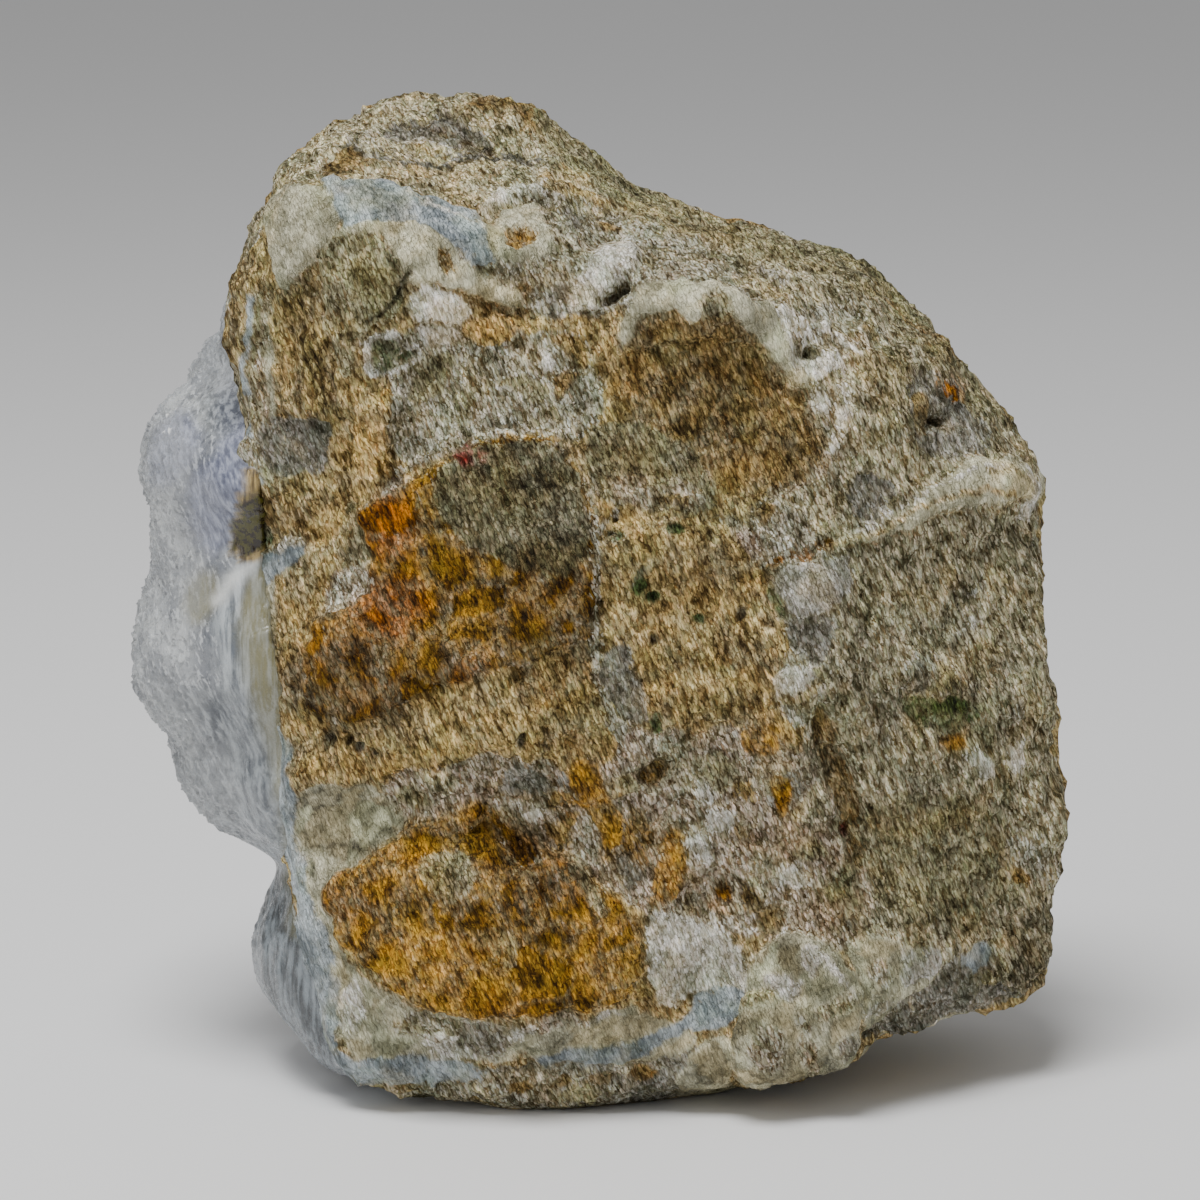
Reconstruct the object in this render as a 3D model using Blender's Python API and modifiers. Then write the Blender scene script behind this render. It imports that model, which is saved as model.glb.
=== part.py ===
"""A broken piece of a blue lace agate geode, standing on its small flat spot.

The rough rock face looks along -Y, X runs to its right and Z is up. The origin lies in the middle of the
bottom of the whole piece. Sizes are written in millimetres and made metres by MM.
"""

import math
import random

import bmesh
import bpy
import numpy as np
from mathutils import Matrix, Vector, noise

MM = 0.001
PIECE_NAME = "blue_lace_agate_geode"

# The rock's outline from the front, as (x, z), clockwise from the top of the left side.
ROCK_OUTLINE = (
    (-35.9, 83.5), (-33.7, 87.4), (-30.3, 92.0), (-27.6, 93.6), (-25.2, 94.6), (-22.8, 98.0),
    (-18.6, 98.5), (-8.4, 98.1), (-5.8, 97.2), (-3.9, 95.6), (-1.0, 95.4), (1.2, 92.6), (4.9, 89.2),
    (7.4, 89.2), (10.9, 87.0), (14.5, 86.4), (19.5, 84.5), (24.4, 82.7), (27.8, 79.6), (30.6, 76.0),
    (33.6, 74.2), (37.0, 74.8), (38.8, 69.0), (42.2, 65.6), (45.2, 62.4), (45.4, 57.0), (44.8, 44.4),
    (44.7, 39.2), (46.0, 35.3), (45.7, 27.5), (46.9, 23.5), (46.2, 15.9), (44.6, 12.0), (42.6, 9.2),
    (40.1, 5.6), (35.9, 4.0), (29.4, 2.0), (22.0, -1.5), (-22.0, -1.5), (-25.5, 2.5),
    (-28.2, 14.0), (-30.0, 25.0), (-31.0, 35.0), (-32.6, 46.0), (-34.4, 57.0), (-35.2, 69.0),
    (-35.6, 77.0),
)
BLANK_HALF_DEPTH = 48.0
LEAST_DEPTH = 1.0

# The front rim of the top, as x, y and z along it, and the crest behind it, as x and z.
RIM_X = (-36.0, -26.0, -12.0, 2.0, 18.0, 23.0, 31.0, 44.0)
RIM_Y = (-10.0, -15.0, -18.0, -20.0, -20.5, -18.0, -8.0, -2.0)
RIM_Z = (88.0, 92.6, 87.4, 83.2, 80.2, 76.0, 73.0, 60.0)
CREST_X = (-36.0, -22.8, -8.7, 0.7, 14.5, 24.4, 31.7, 44.0)
CREST_Z = (90.0, 99.4, 99.2, 93.6, 87.4, 83.4, 77.0, 62.0)
CREST_Y = 9.0

# How far the faces of the break lean: millimetres of depth for each millimetre along them.
FRONT_Y = -25.0
WAIST_Z = 45.0
FRONT_LEAN_TOP = 0.12
FRONT_LEAN_FOOT = 0.10
LEFT_TURN_X, LEFT_TURN = -12.0, 0.41
RIGHT_TURN_X, RIGHT_TURN, RIGHT_SET_BACK = 23.0, 0.75, 2.0
SHOULDER_TURN, SHOULDER_LEAN, SHOULDER_Z, SHOULDER_SET_BACK = 0.9, 0.35, 62.0, 6.0
BACK_Y = 30.0
BACK_RIGHT_X, BACK_RIGHT_TURN = 14.0, 0.55
BACK_LEFT_X, BACK_LEFT_TURN = -6.0, 0.258
BACK_TOP_Z, BACK_TOP_LEAN = 62.0, 0.6
BACK_FOOT_Z, BACK_FOOT_LEAN = 25.0, 0.7

# The flat spot: the middle (x, y) and half sizes of what is cut off flat, and the rise outside it.
FOOT_MIDDLE = (-2.0, -2.5)
FOOT_HALF = (17.5, 14.0)
FOOT_RISE = 0.38
FOOT_BELOW = 1.5

# Forms of the rock face: middle (x, z), half sizes, lean in degrees, and how far they stand out.
FRONT_FORMS = {
    "orange_fragment": ((-11.5, 17.5), (16.5, 9.5), -8.0, 2.2),
    "seam_above_orange_fragment": ((-15.0, 28.5), (15.0, 3.2), -4.0, -1.6),
    "rusty_fragment": ((-14.5, 49.0), (15.0, 14.0), 0.0, 1.3),
    "pitted_fragment": ((9.5, 46.0), (9.5, 11.5), -8.0, -0.8),
    "brown_fragment": ((11.8, 68.5), (10.5, 9.0), -20.0, -1.3),
    "rim_over_brown_fragment": ((9.0, 80.0), (10.0, 2.4), -6.0, 1.2),
    "tongue_fragment": ((-23.5, 75.5), (4.8, 9.5), 4.0, 1.4),
    "cream_lobe": ((-29.8, 86.5), (4.0, 4.6), 10.0, 1.8),
    "blue_ledge": ((-19.0, 86.0), (8.5, 2.4), -22.0, 1.5),
    "edge_pit": ((-34.5, 55.0), (2.4, 4.2), 0.0, -3.2),
    "vein_wedge": ((36.5, 59.0), (8.0, 2.6), 16.0, 2.2),
    "side_groove": ((23.4, 32.0), (1.8, 7.5), 12.0, -2.2),
    "quartz_mass": ((20.5, 9.5), (7.0, 8.0), 0.0, 2.4),
    "notch": ((6.3, 30.0), (1.8, 2.6), 0.0, -2.2),
    "white_slope": ((-1.0, 79.0), (8.0, 5.0), -20.0, -1.2),
}
FORM_EDGE = 0.45
# How squarely a place has to face the front (1 is straight at it) for the forms to begin and to be full.
FORMS_BEGIN, FORMS_FULL = 0.2, 0.7

# The rock's roughness: size of the lumps and how far they stand out, and the same for its broken facets.
ROCK_LUMPS = ((17.0, 0.9), (7.0, 0.6))
ROCK_LUMPS_FROM = 3.7
FACET_SIZE = 12.0
FACET_TILT, FACET_TILT_FROM = 1.5, 9.7
FACET_STEP, FACET_STEP_FROM = 0.9, 5.3
ROCK_GRAIN = 1.5
ROCK_FACES = 4300

# The agate lining's lobes: middle (x, y, z) and half sizes.
LOBES = (
    ((-30.0, 5.0, 75.0), (8.2, 13.0, 9.5)),
    ((-34.6, 3.0, 61.5), (12.0, 15.0, 9.4)),
    ((-33.0, 2.0, 53.0), (12.0, 13.0, 6.6)),
    ((-34.2, 3.0, 43.0), (12.9, 16.0, 12.2)),
    ((-31.4, 3.0, 31.4), (11.2, 14.0, 9.4)),
    ((-26.0, 0.0, 11.6), (9.2, 13.0, 11.0)),
    ((-24.2, -4.0, 7.2), (7.4, 9.0, 6.4)),
    ((-34.0, 18.0, 62.0), (9.5, 11.0, 13.0)),
    ((-33.5, 18.0, 38.0), (9.5, 11.0, 13.0)),
    ((-25.0, 17.0, 20.0), (10.0, 11.0, 9.5)),
    ((-21.0, 19.0, 78.0), (11.0, 10.0, 8.5)),
    ((-6.0, 22.0, 76.0), (10.0, 9.0, 8.0)),
    ((6.5, 24.0, 65.0), (9.0, 8.0, 9.5)),
    ((9.5, 24.0, 51.0), (8.5, 8.0, 9.0)),
    ((7.0, 24.0, 37.0), (9.5, 8.0, 9.0)),
    ((-1.0, 23.0, 26.0), (9.5, 8.5, 8.5)),
    ((-13.0, 20.0, 19.0), (9.0, 8.5, 8.0)),
)
LINING_CORE = ((-14.0, 20.0, 48.0), (27.0, 17.0, 33.0))
LOBE_LUMPS = ((9.0, 0.9), (4.5, 0.45))
LOBE_LUMPS_FROM = 11.3
LOBE_SMOOTHING = 6
LOBE_GRAIN = 1.4
LOBE_FACES = 2600

# The seat that the lining grew in, and the hollow in the lining.
SEAT = ((-15.0, 30.0, 48.0), (25.5, 26.0, 31.5))
HOLLOW = ((-16.0, 31.0, 48.5), (18.0, 22.0, 24.0))
HOLLOW_LUMPS = ((14.0, 2.6), (6.0, 0.7))
SEAT_LUMPS_FROM, HOLLOW_LUMPS_FROM = 5.1, 8.9
BALL_SUBDIVISIONS = 4
NODE_GAP = 0.35
WELD_DISTANCE = 0.001

# The break across the back, which opens the hollow, and how far inside it the crust of crystals ends.
BREAK_POINT = (-18.0, 27.0, 48.0)
BREAK_NORMAL = (-0.25, 0.968, 0.0)
CRUST_BEHIND_BREAK = 1.6
CRUST_THICKNESS = 1.1
CRYSTAL_HEIGHT = (2.2, 4.4)
CRYSTAL_LEAN = 0.9
CRYSTAL_SEED = 7

ROCK_COLOUR, ROCK_ROUGHNESS = (0.36, 0.29, 0.19, 1.0), 0.85
AGATE_COLOUR, AGATE_ROUGHNESS = (0.42, 0.46, 0.53, 1.0), 0.35
QUARTZ_COLOUR, QUARTZ_ROUGHNESS = (0.62, 0.63, 0.68, 1.0), 0.2


def clear_scene():
    """Removes every object that the file starts with."""
    for obj in list(bpy.data.objects):
        bpy.data.objects.remove(obj, do_unlink=True)


def new_collection(name, hidden=False):
    """A collection under the scene's own, left out of renders if hidden."""
    collection = bpy.data.collections.new(name)
    collection.hide_render = hidden
    bpy.context.scene.collection.children.link(collection)
    return collection


def new_object(name, mesh, collection):
    """An object that holds the mesh, in the collection."""
    obj = bpy.data.objects.new(name, mesh)
    collection.objects.link(obj)
    return obj


def as_cutter(obj):
    """Marks an object that only cuts others."""
    obj.hide_render = True
    obj.display_type = "WIRE"


def finish(obj, colour, roughness):
    """Gives the object its own plain material and flat, broken faces."""
    material = bpy.data.materials.new(obj.name)
    material.use_nodes = True
    shader = material.node_tree.nodes["Principled BSDF"]
    shader.inputs["Base Color"].default_value = colour
    shader.inputs["Roughness"].default_value = roughness
    shader.inputs["Metallic"].default_value = 0.0
    material.diffuse_color = colour
    obj.data.materials.clear()
    obj.data.materials.append(material)
    obj.data.shade_flat()


def keep_modified(obj):
    """Keeps the mesh that the object's modifiers make, and drops the modifiers."""
    graph = bpy.context.evaluated_depsgraph_get()
    mesh = bpy.data.meshes.new_from_object(obj.evaluated_get(graph))
    obj.modifiers.clear()
    obj.data = mesh


def remesh(obj, size):
    """Gives the object an even, closed mesh with faces of about this size."""
    modifier = obj.modifiers.new("even_mesh", "REMESH")
    modifier.mode = "VOXEL"
    modifier.voxel_size = size * MM
    keep_modified(obj)


def thin_out(obj, faces):
    """Collapses the mesh to about this many triangles."""
    corners = sum(len(face.vertices) - 2 for face in obj.data.polygons)
    modifier = obj.modifiers.new("fewer_faces", "DECIMATE")
    modifier.ratio = faces / corners
    modifier.use_collapse_triangulate = True
    keep_modified(obj)


def cut(obj, cutter):
    """Takes the cutter's space out of the object."""
    modifier = obj.modifiers.new("cut", "BOOLEAN")
    modifier.operation = "DIFFERENCE"
    modifier.solver = "EXACT"
    modifier.object = cutter
    keep_modified(obj)


def places(mesh):
    """The mesh's points in millimetres."""
    points = np.empty(len(mesh.vertices) * 3)
    mesh.vertices.foreach_get("co", points)
    return points.reshape(-1, 3) / MM


def normals(mesh):
    """The direction that the surface faces at each of the mesh's points."""
    found = np.empty(len(mesh.vertices) * 3)
    mesh.vertex_normals.foreach_get("vector", found)
    return found.reshape(-1, 3)


def move_points(mesh, points):
    """Puts the mesh's points at these places, in millimetres."""
    mesh.vertices.foreach_set("co", (points * MM).ravel())
    mesh.update()


def lumps(points, sizes, start):
    """How far a lumpy surface stands out at each point, for lumps of these sizes and heights."""
    height = np.zeros(len(points))
    shift = Vector((start, 2.0 * start, -start))
    for size, amount in sizes:
        height += [amount * noise.noise(Vector(p) / size + shift) for p in points]
    return height


def facets(points):
    """How far each point stands out on a surface broken into tilted flat facets with steps between."""
    height = np.zeros(len(points))
    for i, p in enumerate(points):
        here = Vector(p) / FACET_SIZE
        middle = noise.voronoi(here)[1][0]
        tilt = noise.cell_vector(middle * FACET_TILT_FROM)
        step = noise.cell(middle * FACET_STEP_FROM)
        height[i] = FACET_TILT * tilt.dot(here - middle) + FACET_STEP * step
    return height


def roughen(obj, sizes, start):
    """Moves the surface in and out by lumps."""
    points = places(obj.data)
    out = normals(obj.data) * lumps(points, sizes, start)[:, None]
    move_points(obj.data, points + out)


def biggest_body(obj):
    """Keeps the body with the most points and drops loose crumbs left by a cut."""
    mesh = bmesh.new()
    mesh.from_mesh(obj.data)
    bodies = []
    unseen = set(mesh.verts)
    while unseen:
        body = set()
        edge = {unseen.pop()}
        while edge:
            body |= edge
            edge = {e.other_vert(v) for v in edge for e in v.link_edges} - body
        unseen -= body
        bodies.append(body)
    bodies.sort(key=len)
    crumbs = [v for body in bodies[:-1] for v in body]
    bmesh.ops.delete(mesh, geom=crumbs, context="VERTS")
    mesh.to_mesh(obj.data)
    mesh.free()


def slab_of(outline, half_depth):
    """A flat outline in the XZ plane made a slab that runs from front to back."""
    curve = bpy.data.curves.new("outline", "CURVE")
    curve.dimensions = "2D"
    curve.fill_mode = "BOTH"
    curve.extrude = half_depth * MM
    spline = curve.splines.new("POLY")
    spline.points.add(len(outline) - 1)
    spline.use_cyclic_u = True
    for point, (x, z) in zip(spline.points, outline):
        point.co = (x * MM, z * MM, 0.0, 1.0)
    guide = new_object("outline", curve, bpy.context.scene.collection)
    guide.rotation_euler = (math.radians(90.0), 0.0, 0.0)
    bpy.context.view_layer.update()
    graph = bpy.context.evaluated_depsgraph_get()
    mesh = bpy.data.meshes.new_from_object(guide.evaluated_get(graph))
    mesh.transform(guide.matrix_world)
    bpy.data.objects.remove(guide)
    weld(mesh)
    return mesh


def weld(mesh):
    """Joins points that lie on each other and turns all faces outwards."""
    work = bmesh.new()
    work.from_mesh(mesh)
    bmesh.ops.remove_doubles(work, verts=work.verts, dist=WELD_DISTANCE * MM)
    bmesh.ops.recalc_face_normals(work, faces=work.faces)
    work.to_mesh(mesh)
    work.free()


def ball(centre, radii):
    """A mesh ball with its own half size along X, Y and Z."""
    mesh = bpy.data.meshes.new("ball")
    work = bmesh.new()
    bmesh.ops.create_icosphere(work, subdivisions=BALL_SUBDIVISIONS, radius=1.0)
    size = Matrix.Diagonal((*(r * MM for r in radii), 1.0))
    place = Matrix.Translation(Vector(centre) * MM)
    bmesh.ops.transform(work, matrix=place @ size, verts=work.verts)
    work.to_mesh(mesh)
    work.free()
    return mesh


def front_depth(x, z):
    """Y of the broken front at each place: the nearest of its leaning faces."""
    upper = FRONT_Y + FRONT_LEAN_TOP * (z - WAIST_Z)
    lower = FRONT_Y + FRONT_LEAN_FOOT * (WAIST_Z - z)
    left = FRONT_Y + LEFT_TURN * (LEFT_TURN_X - x)
    past_turn = x - RIGHT_TURN_X
    right = FRONT_Y + RIGHT_SET_BACK + RIGHT_TURN * past_turn
    shoulder = FRONT_Y + SHOULDER_SET_BACK + SHOULDER_TURN * past_turn + SHOULDER_LEAN * (z - SHOULDER_Z)
    return np.maximum.reduce([upper, lower, left, right, shoulder])


def back_depth(x, z):
    """Y of the back at each place: the nearest of its leaning faces."""
    flat = np.full(len(x), BACK_Y)
    right = BACK_Y - BACK_RIGHT_TURN * (x - BACK_RIGHT_X)
    left = BACK_Y - BACK_LEFT_TURN * (BACK_LEFT_X - x)
    top = BACK_Y - BACK_TOP_LEAN * (z - BACK_TOP_Z)
    foot = BACK_Y - BACK_FOOT_LEAN * (BACK_FOOT_Z - z)
    return np.minimum.reduce([flat, right, left, top, foot])


def top_height(x, y):
    """Z of the top at each place: a slope from the front rim up to the crest."""
    rim_y = np.interp(x, RIM_X, RIM_Y)
    rim_z = np.interp(x, RIM_X, RIM_Z)
    crest_z = np.interp(x, CREST_X, CREST_Z)
    along = (y - rim_y) / (CREST_Y - rim_y)
    return rim_z + (crest_z - rim_z) * np.minimum(along, 1.0)


def foot_height(x, y):
    """Z of the underside at each place: lowest over the flat spot, and rising all round it."""
    across = (x - FOOT_MIDDLE[0]) / FOOT_HALF[0]
    deep = (y - FOOT_MIDDLE[1]) / FOOT_HALF[1]
    outside = np.maximum(np.hypot(across, deep) - 1.0, 0.0) * min(FOOT_HALF)
    return FOOT_RISE * outside - FOOT_BELOW * (outside == 0.0)


def form_height(x, z):
    """How far the named forms of the rock face stand out at each place."""
    height = np.zeros(len(x))
    for (middle_x, middle_z), (half_x, half_z), lean, amount in FRONT_FORMS.values():
        c, s = math.cos(math.radians(lean)), math.sin(math.radians(lean))
        across = ((x - middle_x) * c + (z - middle_z) * s) / half_x
        up = ((z - middle_z) * c - (x - middle_x) * s) / half_z
        inside = (1.0 - np.hypot(across, up)) / FORM_EDGE
        inside = np.clip(inside + 0.5, 0.0, 1.0)
        height += amount * inside * inside * (3.0 - 2.0 * inside)
    return height


def plane_block(points):
    """Moves each point of the rough slab onto the faces of the break that it lies outside of."""
    x, y, z = points.T.copy()
    z = np.maximum(z, foot_height(x, np.clip(y, FRONT_Y, BACK_Y)))
    front = front_depth(x, z)
    y = np.clip(y, front, np.maximum(back_depth(x, z), front + LEAST_DEPTH))
    z = np.minimum(z, top_height(x, y))
    y = np.maximum(y, front_depth(x, z))
    return np.column_stack([x, y, z])


def make_rock(collection, seat):
    """The brecciated host rock: a slab of the outline, planed to its faces, lumpy, with a flat foot."""
    rock = new_object("host_rock", slab_of(ROCK_OUTLINE, BLANK_HALF_DEPTH), collection)
    remesh(rock, ROCK_GRAIN)
    move_points(rock.data, plane_block(places(rock.data)))
    remesh(rock, ROCK_GRAIN)
    points = places(rock.data)
    facing = (-normals(rock.data)[:, 1] - FORMS_BEGIN) / (FORMS_FULL - FORMS_BEGIN)
    points[:, 1] -= np.clip(facing, 0.0, 1.0) * form_height(points[:, 0], points[:, 2])
    move_points(rock.data, points)
    points += normals(rock.data) * facets(points)[:, None]
    move_points(rock.data, points)
    roughen(rock, ROCK_LUMPS, ROCK_LUMPS_FROM)
    remesh(rock, ROCK_GRAIN)
    cut(rock, seat)
    remesh(rock, ROCK_GRAIN)
    thin_out(rock, ROCK_FACES)
    slice_off(rock, (0.0, 0.0, 0.0), (0.0, 0.0, -1.0))
    return rock


def slice_off(obj, point, out):
    """Cuts the object off flat at a plane, and closes the cut. What lies on the out side goes."""
    work = bmesh.new()
    work.from_mesh(obj.data)
    everything = [*work.verts, *work.edges, *work.faces]
    place = Vector(point) * MM
    sliced = bmesh.ops.bisect_plane(
        work, geom=everything, plane_co=place, plane_no=out, clear_outer=True
    )
    rim = [item for item in sliced["geom_cut"] if isinstance(item, bmesh.types.BMEdge)]
    bmesh.ops.contextual_create(work, geom=rim)
    bmesh.ops.triangulate(work, faces=work.faces)
    bmesh.ops.recalc_face_normals(work, faces=work.faces)
    work.to_mesh(obj.data)
    work.free()


def make_lining(collection, rock, hollow):
    """The agate layer: rounded lobes run together, cut to the rock and to the hollow."""
    work = bmesh.new()
    for centre, radii in (LINING_CORE, *LOBES):
        work.from_mesh(ball(centre, radii))
    mesh = bpy.data.meshes.new("agate_lining")
    work.to_mesh(mesh)
    work.free()
    lining = new_object("agate_lining", mesh, collection)
    remesh(lining, LOBE_GRAIN)
    smooth = lining.modifiers.new("run_together", "SMOOTH")
    smooth.iterations = LOBE_SMOOTHING
    keep_modified(lining)
    slice_off(lining, BREAK_POINT, BREAK_NORMAL)
    roughen(lining, LOBE_LUMPS, LOBE_LUMPS_FROM)
    remesh(lining, LOBE_GRAIN)
    thin_out(lining, LOBE_FACES)
    cut(lining, hollow)
    cut(lining, grown(rock, NODE_GAP))
    biggest_body(lining)
    return lining


def grown(obj, amount):
    """A hidden copy of the object whose surface stands out by this much."""
    copy = new_object(obj.name + "_with_gap", obj.data.copy(), bpy.data.collections["cutters"])
    as_cutter(copy)
    move_points(copy.data, places(copy.data) + normals(copy.data) * amount)
    return copy


def make_crust(collection, hollow):
    """The hollow's quartz crystals: a thin skin just inside the lining, with six-sided points."""
    crust = new_object("druzy_crust", hollow.data.copy(), collection)
    centre = np.array(HOLLOW[0])
    radii = np.array(HOLLOW[1])
    points = places(crust.data)
    points = centre + (points - centre) * (radii - NODE_GAP) / radii
    move_points(crust.data, points)
    work = bmesh.new()
    work.from_mesh(crust.data)
    out = Vector(BREAK_NORMAL)
    mouth = (Vector(BREAK_POINT) - out * CRUST_BEHIND_BREAK) * MM
    open_air = [f for f in work.faces if (f.calc_center_median() - mouth).dot(out) > 0.0]
    bmesh.ops.delete(work, geom=open_air, context="FACES")
    work.to_mesh(crust.data)
    work.free()
    skin = len(crust.data.vertices)
    solidify = crust.modifiers.new("thickness", "SOLIDIFY")
    solidify.thickness = CRUST_THICKNESS * MM
    solidify.offset = -1.0
    solidify.use_even_offset = True
    keep_modified(crust)
    grow_crystals(crust, skin)
    return crust


def grow_crystals(crust, skin):
    """Draws points of the inner skin, none beside another, into the hollow as crystal tips."""
    pick = random.Random(CRYSTAL_SEED)
    work = bmesh.new()
    work.from_mesh(crust.data)
    work.verts.ensure_lookup_table()
    inner = [v for v in work.verts if v.index >= skin]
    used = {v for v in inner if any(e.other_vert(v).index < skin for e in v.link_edges)}
    centre = Vector(HOLLOW[0]) * MM
    for tip in inner:
        around = [e.other_vert(tip) for e in tip.link_edges]
        if tip in used:
            continue
        used.add(tip)
        used.update(around)
        lean = Vector(pick.uniform(-1.0, 1.0) for _ in range(3)) * CRYSTAL_LEAN
        height = pick.uniform(*CRYSTAL_HEIGHT)
        tip.co += ((centre - tip.co).normalized() * height + lean) * MM
    bmesh.ops.triangulate(work, faces=work.faces)
    work.to_mesh(crust.data)
    work.free()


def stand_on_origin(objects):
    """Shifts all pieces together, so that the origin is the middle of the bottom of their box."""
    every = np.concatenate([places(obj.data) for obj in objects])
    low, high = every.min(axis=0), every.max(axis=0)
    middle = np.array([(low[0] + high[0]) / 2.0, (low[1] + high[1]) / 2.0, low[2]])
    for obj in objects:
        move_points(obj.data, places(obj.data) - middle)


clear_scene()
pieces = new_collection(PIECE_NAME)
cutters = new_collection("cutters", hidden=True)

seat_cutter = new_object("seat_cutter", ball(*SEAT), cutters)
as_cutter(seat_cutter)
roughen(seat_cutter, HOLLOW_LUMPS, SEAT_LUMPS_FROM)
hollow_cutter = new_object("hollow_cutter", ball(*HOLLOW), cutters)
as_cutter(hollow_cutter)
roughen(hollow_cutter, HOLLOW_LUMPS, HOLLOW_LUMPS_FROM)

host_rock = make_rock(pieces, seat_cutter)
agate_lining = make_lining(pieces, host_rock, hollow_cutter)
druzy_crust = make_crust(pieces, hollow_cutter)

finish(host_rock, ROCK_COLOUR, ROCK_ROUGHNESS)
finish(agate_lining, AGATE_COLOUR, AGATE_ROUGHNESS)
finish(druzy_crust, QUARTZ_COLOUR, QUARTZ_ROUGHNESS)
stand_on_origin([host_rock, agate_lining, druzy_crust])
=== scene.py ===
import math
import random

import bpy
import numpy as np
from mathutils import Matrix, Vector, noise
from mathutils.bvhtree import BVHTree


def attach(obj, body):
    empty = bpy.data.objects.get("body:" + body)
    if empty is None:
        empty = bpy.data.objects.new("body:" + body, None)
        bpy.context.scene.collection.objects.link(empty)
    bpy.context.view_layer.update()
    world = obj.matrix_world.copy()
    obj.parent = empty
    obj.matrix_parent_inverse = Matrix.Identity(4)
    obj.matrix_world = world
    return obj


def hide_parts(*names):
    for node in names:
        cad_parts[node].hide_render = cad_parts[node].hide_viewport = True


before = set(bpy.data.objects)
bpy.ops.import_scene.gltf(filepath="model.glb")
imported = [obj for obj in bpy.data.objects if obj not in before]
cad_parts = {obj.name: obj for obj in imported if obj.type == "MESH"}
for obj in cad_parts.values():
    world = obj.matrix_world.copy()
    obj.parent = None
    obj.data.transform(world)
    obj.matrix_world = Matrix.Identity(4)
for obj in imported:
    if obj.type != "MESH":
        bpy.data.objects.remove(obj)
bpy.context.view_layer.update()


# Host rock
# The real piece is a broken lump of breccia: fragments of tan, olive and rust-brown volcanic rock that silica
# set together with cream, grey and blue-grey chalcedony. It is a copy of the solid, made finer, with the
# fragments, seams and pits of its face drawn where they lie. Lengths are in millimetres.

MM = 0.001
SAME_PLACE = 0.002
ROCK_GRAIN = 0.89
ROCK_SMOOTHING = 3


def work_on(piece):
    """Selects this piece alone and makes it the active one."""
    bpy.ops.object.select_all(action="DESELECT")
    piece.select_set(True)
    bpy.context.view_layer.objects.active = piece


def copy_of(node_name, piece_name):
    """A separate piece with the shape of a CAD node, its loose triangles merged."""
    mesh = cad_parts[node_name].data.copy()
    mesh.materials.clear()
    piece = bpy.data.objects.new(piece_name, mesh)
    bpy.context.scene.collection.objects.link(piece)
    work_on(piece)
    bpy.ops.object.mode_set(mode="EDIT")
    bpy.ops.mesh.select_all(action="SELECT")
    bpy.ops.mesh.remove_doubles(threshold=SAME_PLACE * MM)
    bpy.ops.object.mode_set(mode="OBJECT")
    return piece


def even_out(piece, size, smoothing):
    """Gives the piece an even mesh with faces of this size, and takes the steps out of it."""
    work_on(piece)
    fine = piece.modifiers.new("even", "REMESH")
    fine.mode = "VOXEL"
    fine.voxel_size = size * MM
    bpy.ops.object.modifier_apply(modifier=fine.name)
    soft = piece.modifiers.new("soft", "SMOOTH")
    soft.iterations = smoothing
    bpy.ops.object.modifier_apply(modifier=soft.name)


def split_faces(piece, chosen):
    """Cuts each chosen face into four."""
    mesh = piece.data
    mesh.vertices.foreach_set("select", np.zeros(len(mesh.vertices), bool))
    mesh.edges.foreach_set("select", np.zeros(len(mesh.edges), bool))
    mesh.polygons.foreach_set("select", chosen)
    work_on(piece)
    bpy.ops.object.mode_set(mode="EDIT")
    bpy.ops.mesh.select_mode(type="FACE")
    bpy.ops.mesh.subdivide(number_cuts=1)
    bpy.ops.object.mode_set(mode="OBJECT")


def rows_of(items, name):
    """The three numbers that each of a mesh's points or faces has under this name."""
    found = np.empty(len(items) * 3)
    items.foreach_get(name, found)
    return found.reshape(-1, 3)


def places(mesh):
    """The mesh's points in millimetres."""
    return rows_of(mesh.vertices, "co") / MM


def directions(mesh):
    """The way the surface faces at each of the mesh's points."""
    return rows_of(mesh.vertex_normals, "vector")


def put_points(mesh, points):
    """Moves the mesh's points to these places, in millimetres."""
    mesh.vertices.foreach_set("co", (points * MM).ravel())
    mesh.update()


def keep_values(mesh, values_by_name):
    """Stores numbers for each point of the mesh, for its material to read by name."""
    for name, values in values_by_name.items():
        kept = mesh.attributes.new(name, "FLOAT", "POINT")
        kept.data.foreach_set("value", values.astype(np.float32))


def lumps(points, size, start, roughness=1.0, octaves=1):
    """Soft noise, about -1 to 1, at each point, with its largest lumps this many millimetres across."""
    shift = Vector((start, 2.0 * start, -start))
    return np.array([
        noise.fractal(Vector(p) / size + shift, roughness, 2.0, octaves) for p in points.tolist()
    ])


def rise_between(values, low, high):
    """Runs smoothly from 0 at low to 1 at high."""
    t = np.clip((values - low) / (high - low), 0.0, 1.0)
    return t * t * (3.0 - 2.0 * t)


# The face as it is seen from half a metre in front and ten degrees above, measured in tenths of a millimetre.
EYE_TILT = math.radians(10.0)
EYE_DISTANCE = 500.0
EYE_TARGET = np.array([0.0, -4.5, 48.2])
EYE_LINE = np.array([0.0, math.cos(EYE_TILT), -math.sin(EYE_TILT)])
EYE_UP = np.array([0.0, math.sin(EYE_TILT), math.cos(EYE_TILT)])
EYE = EYE_TARGET - EYE_LINE * EYE_DISTANCE
TENTHS = 10.0
FACE_MIDDLE = 600.0
EDGE_ON = 0.03
SQUARE_ENOUGH = 0.16


def facing(points, ways):
    """How squarely each place faces the eye: 1 straight on, 0 edge on, below 0 turned away."""
    sight = EYE - points
    sight /= np.linalg.norm(sight, axis=1)[:, None]
    return (ways * sight).sum(axis=1)


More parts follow.
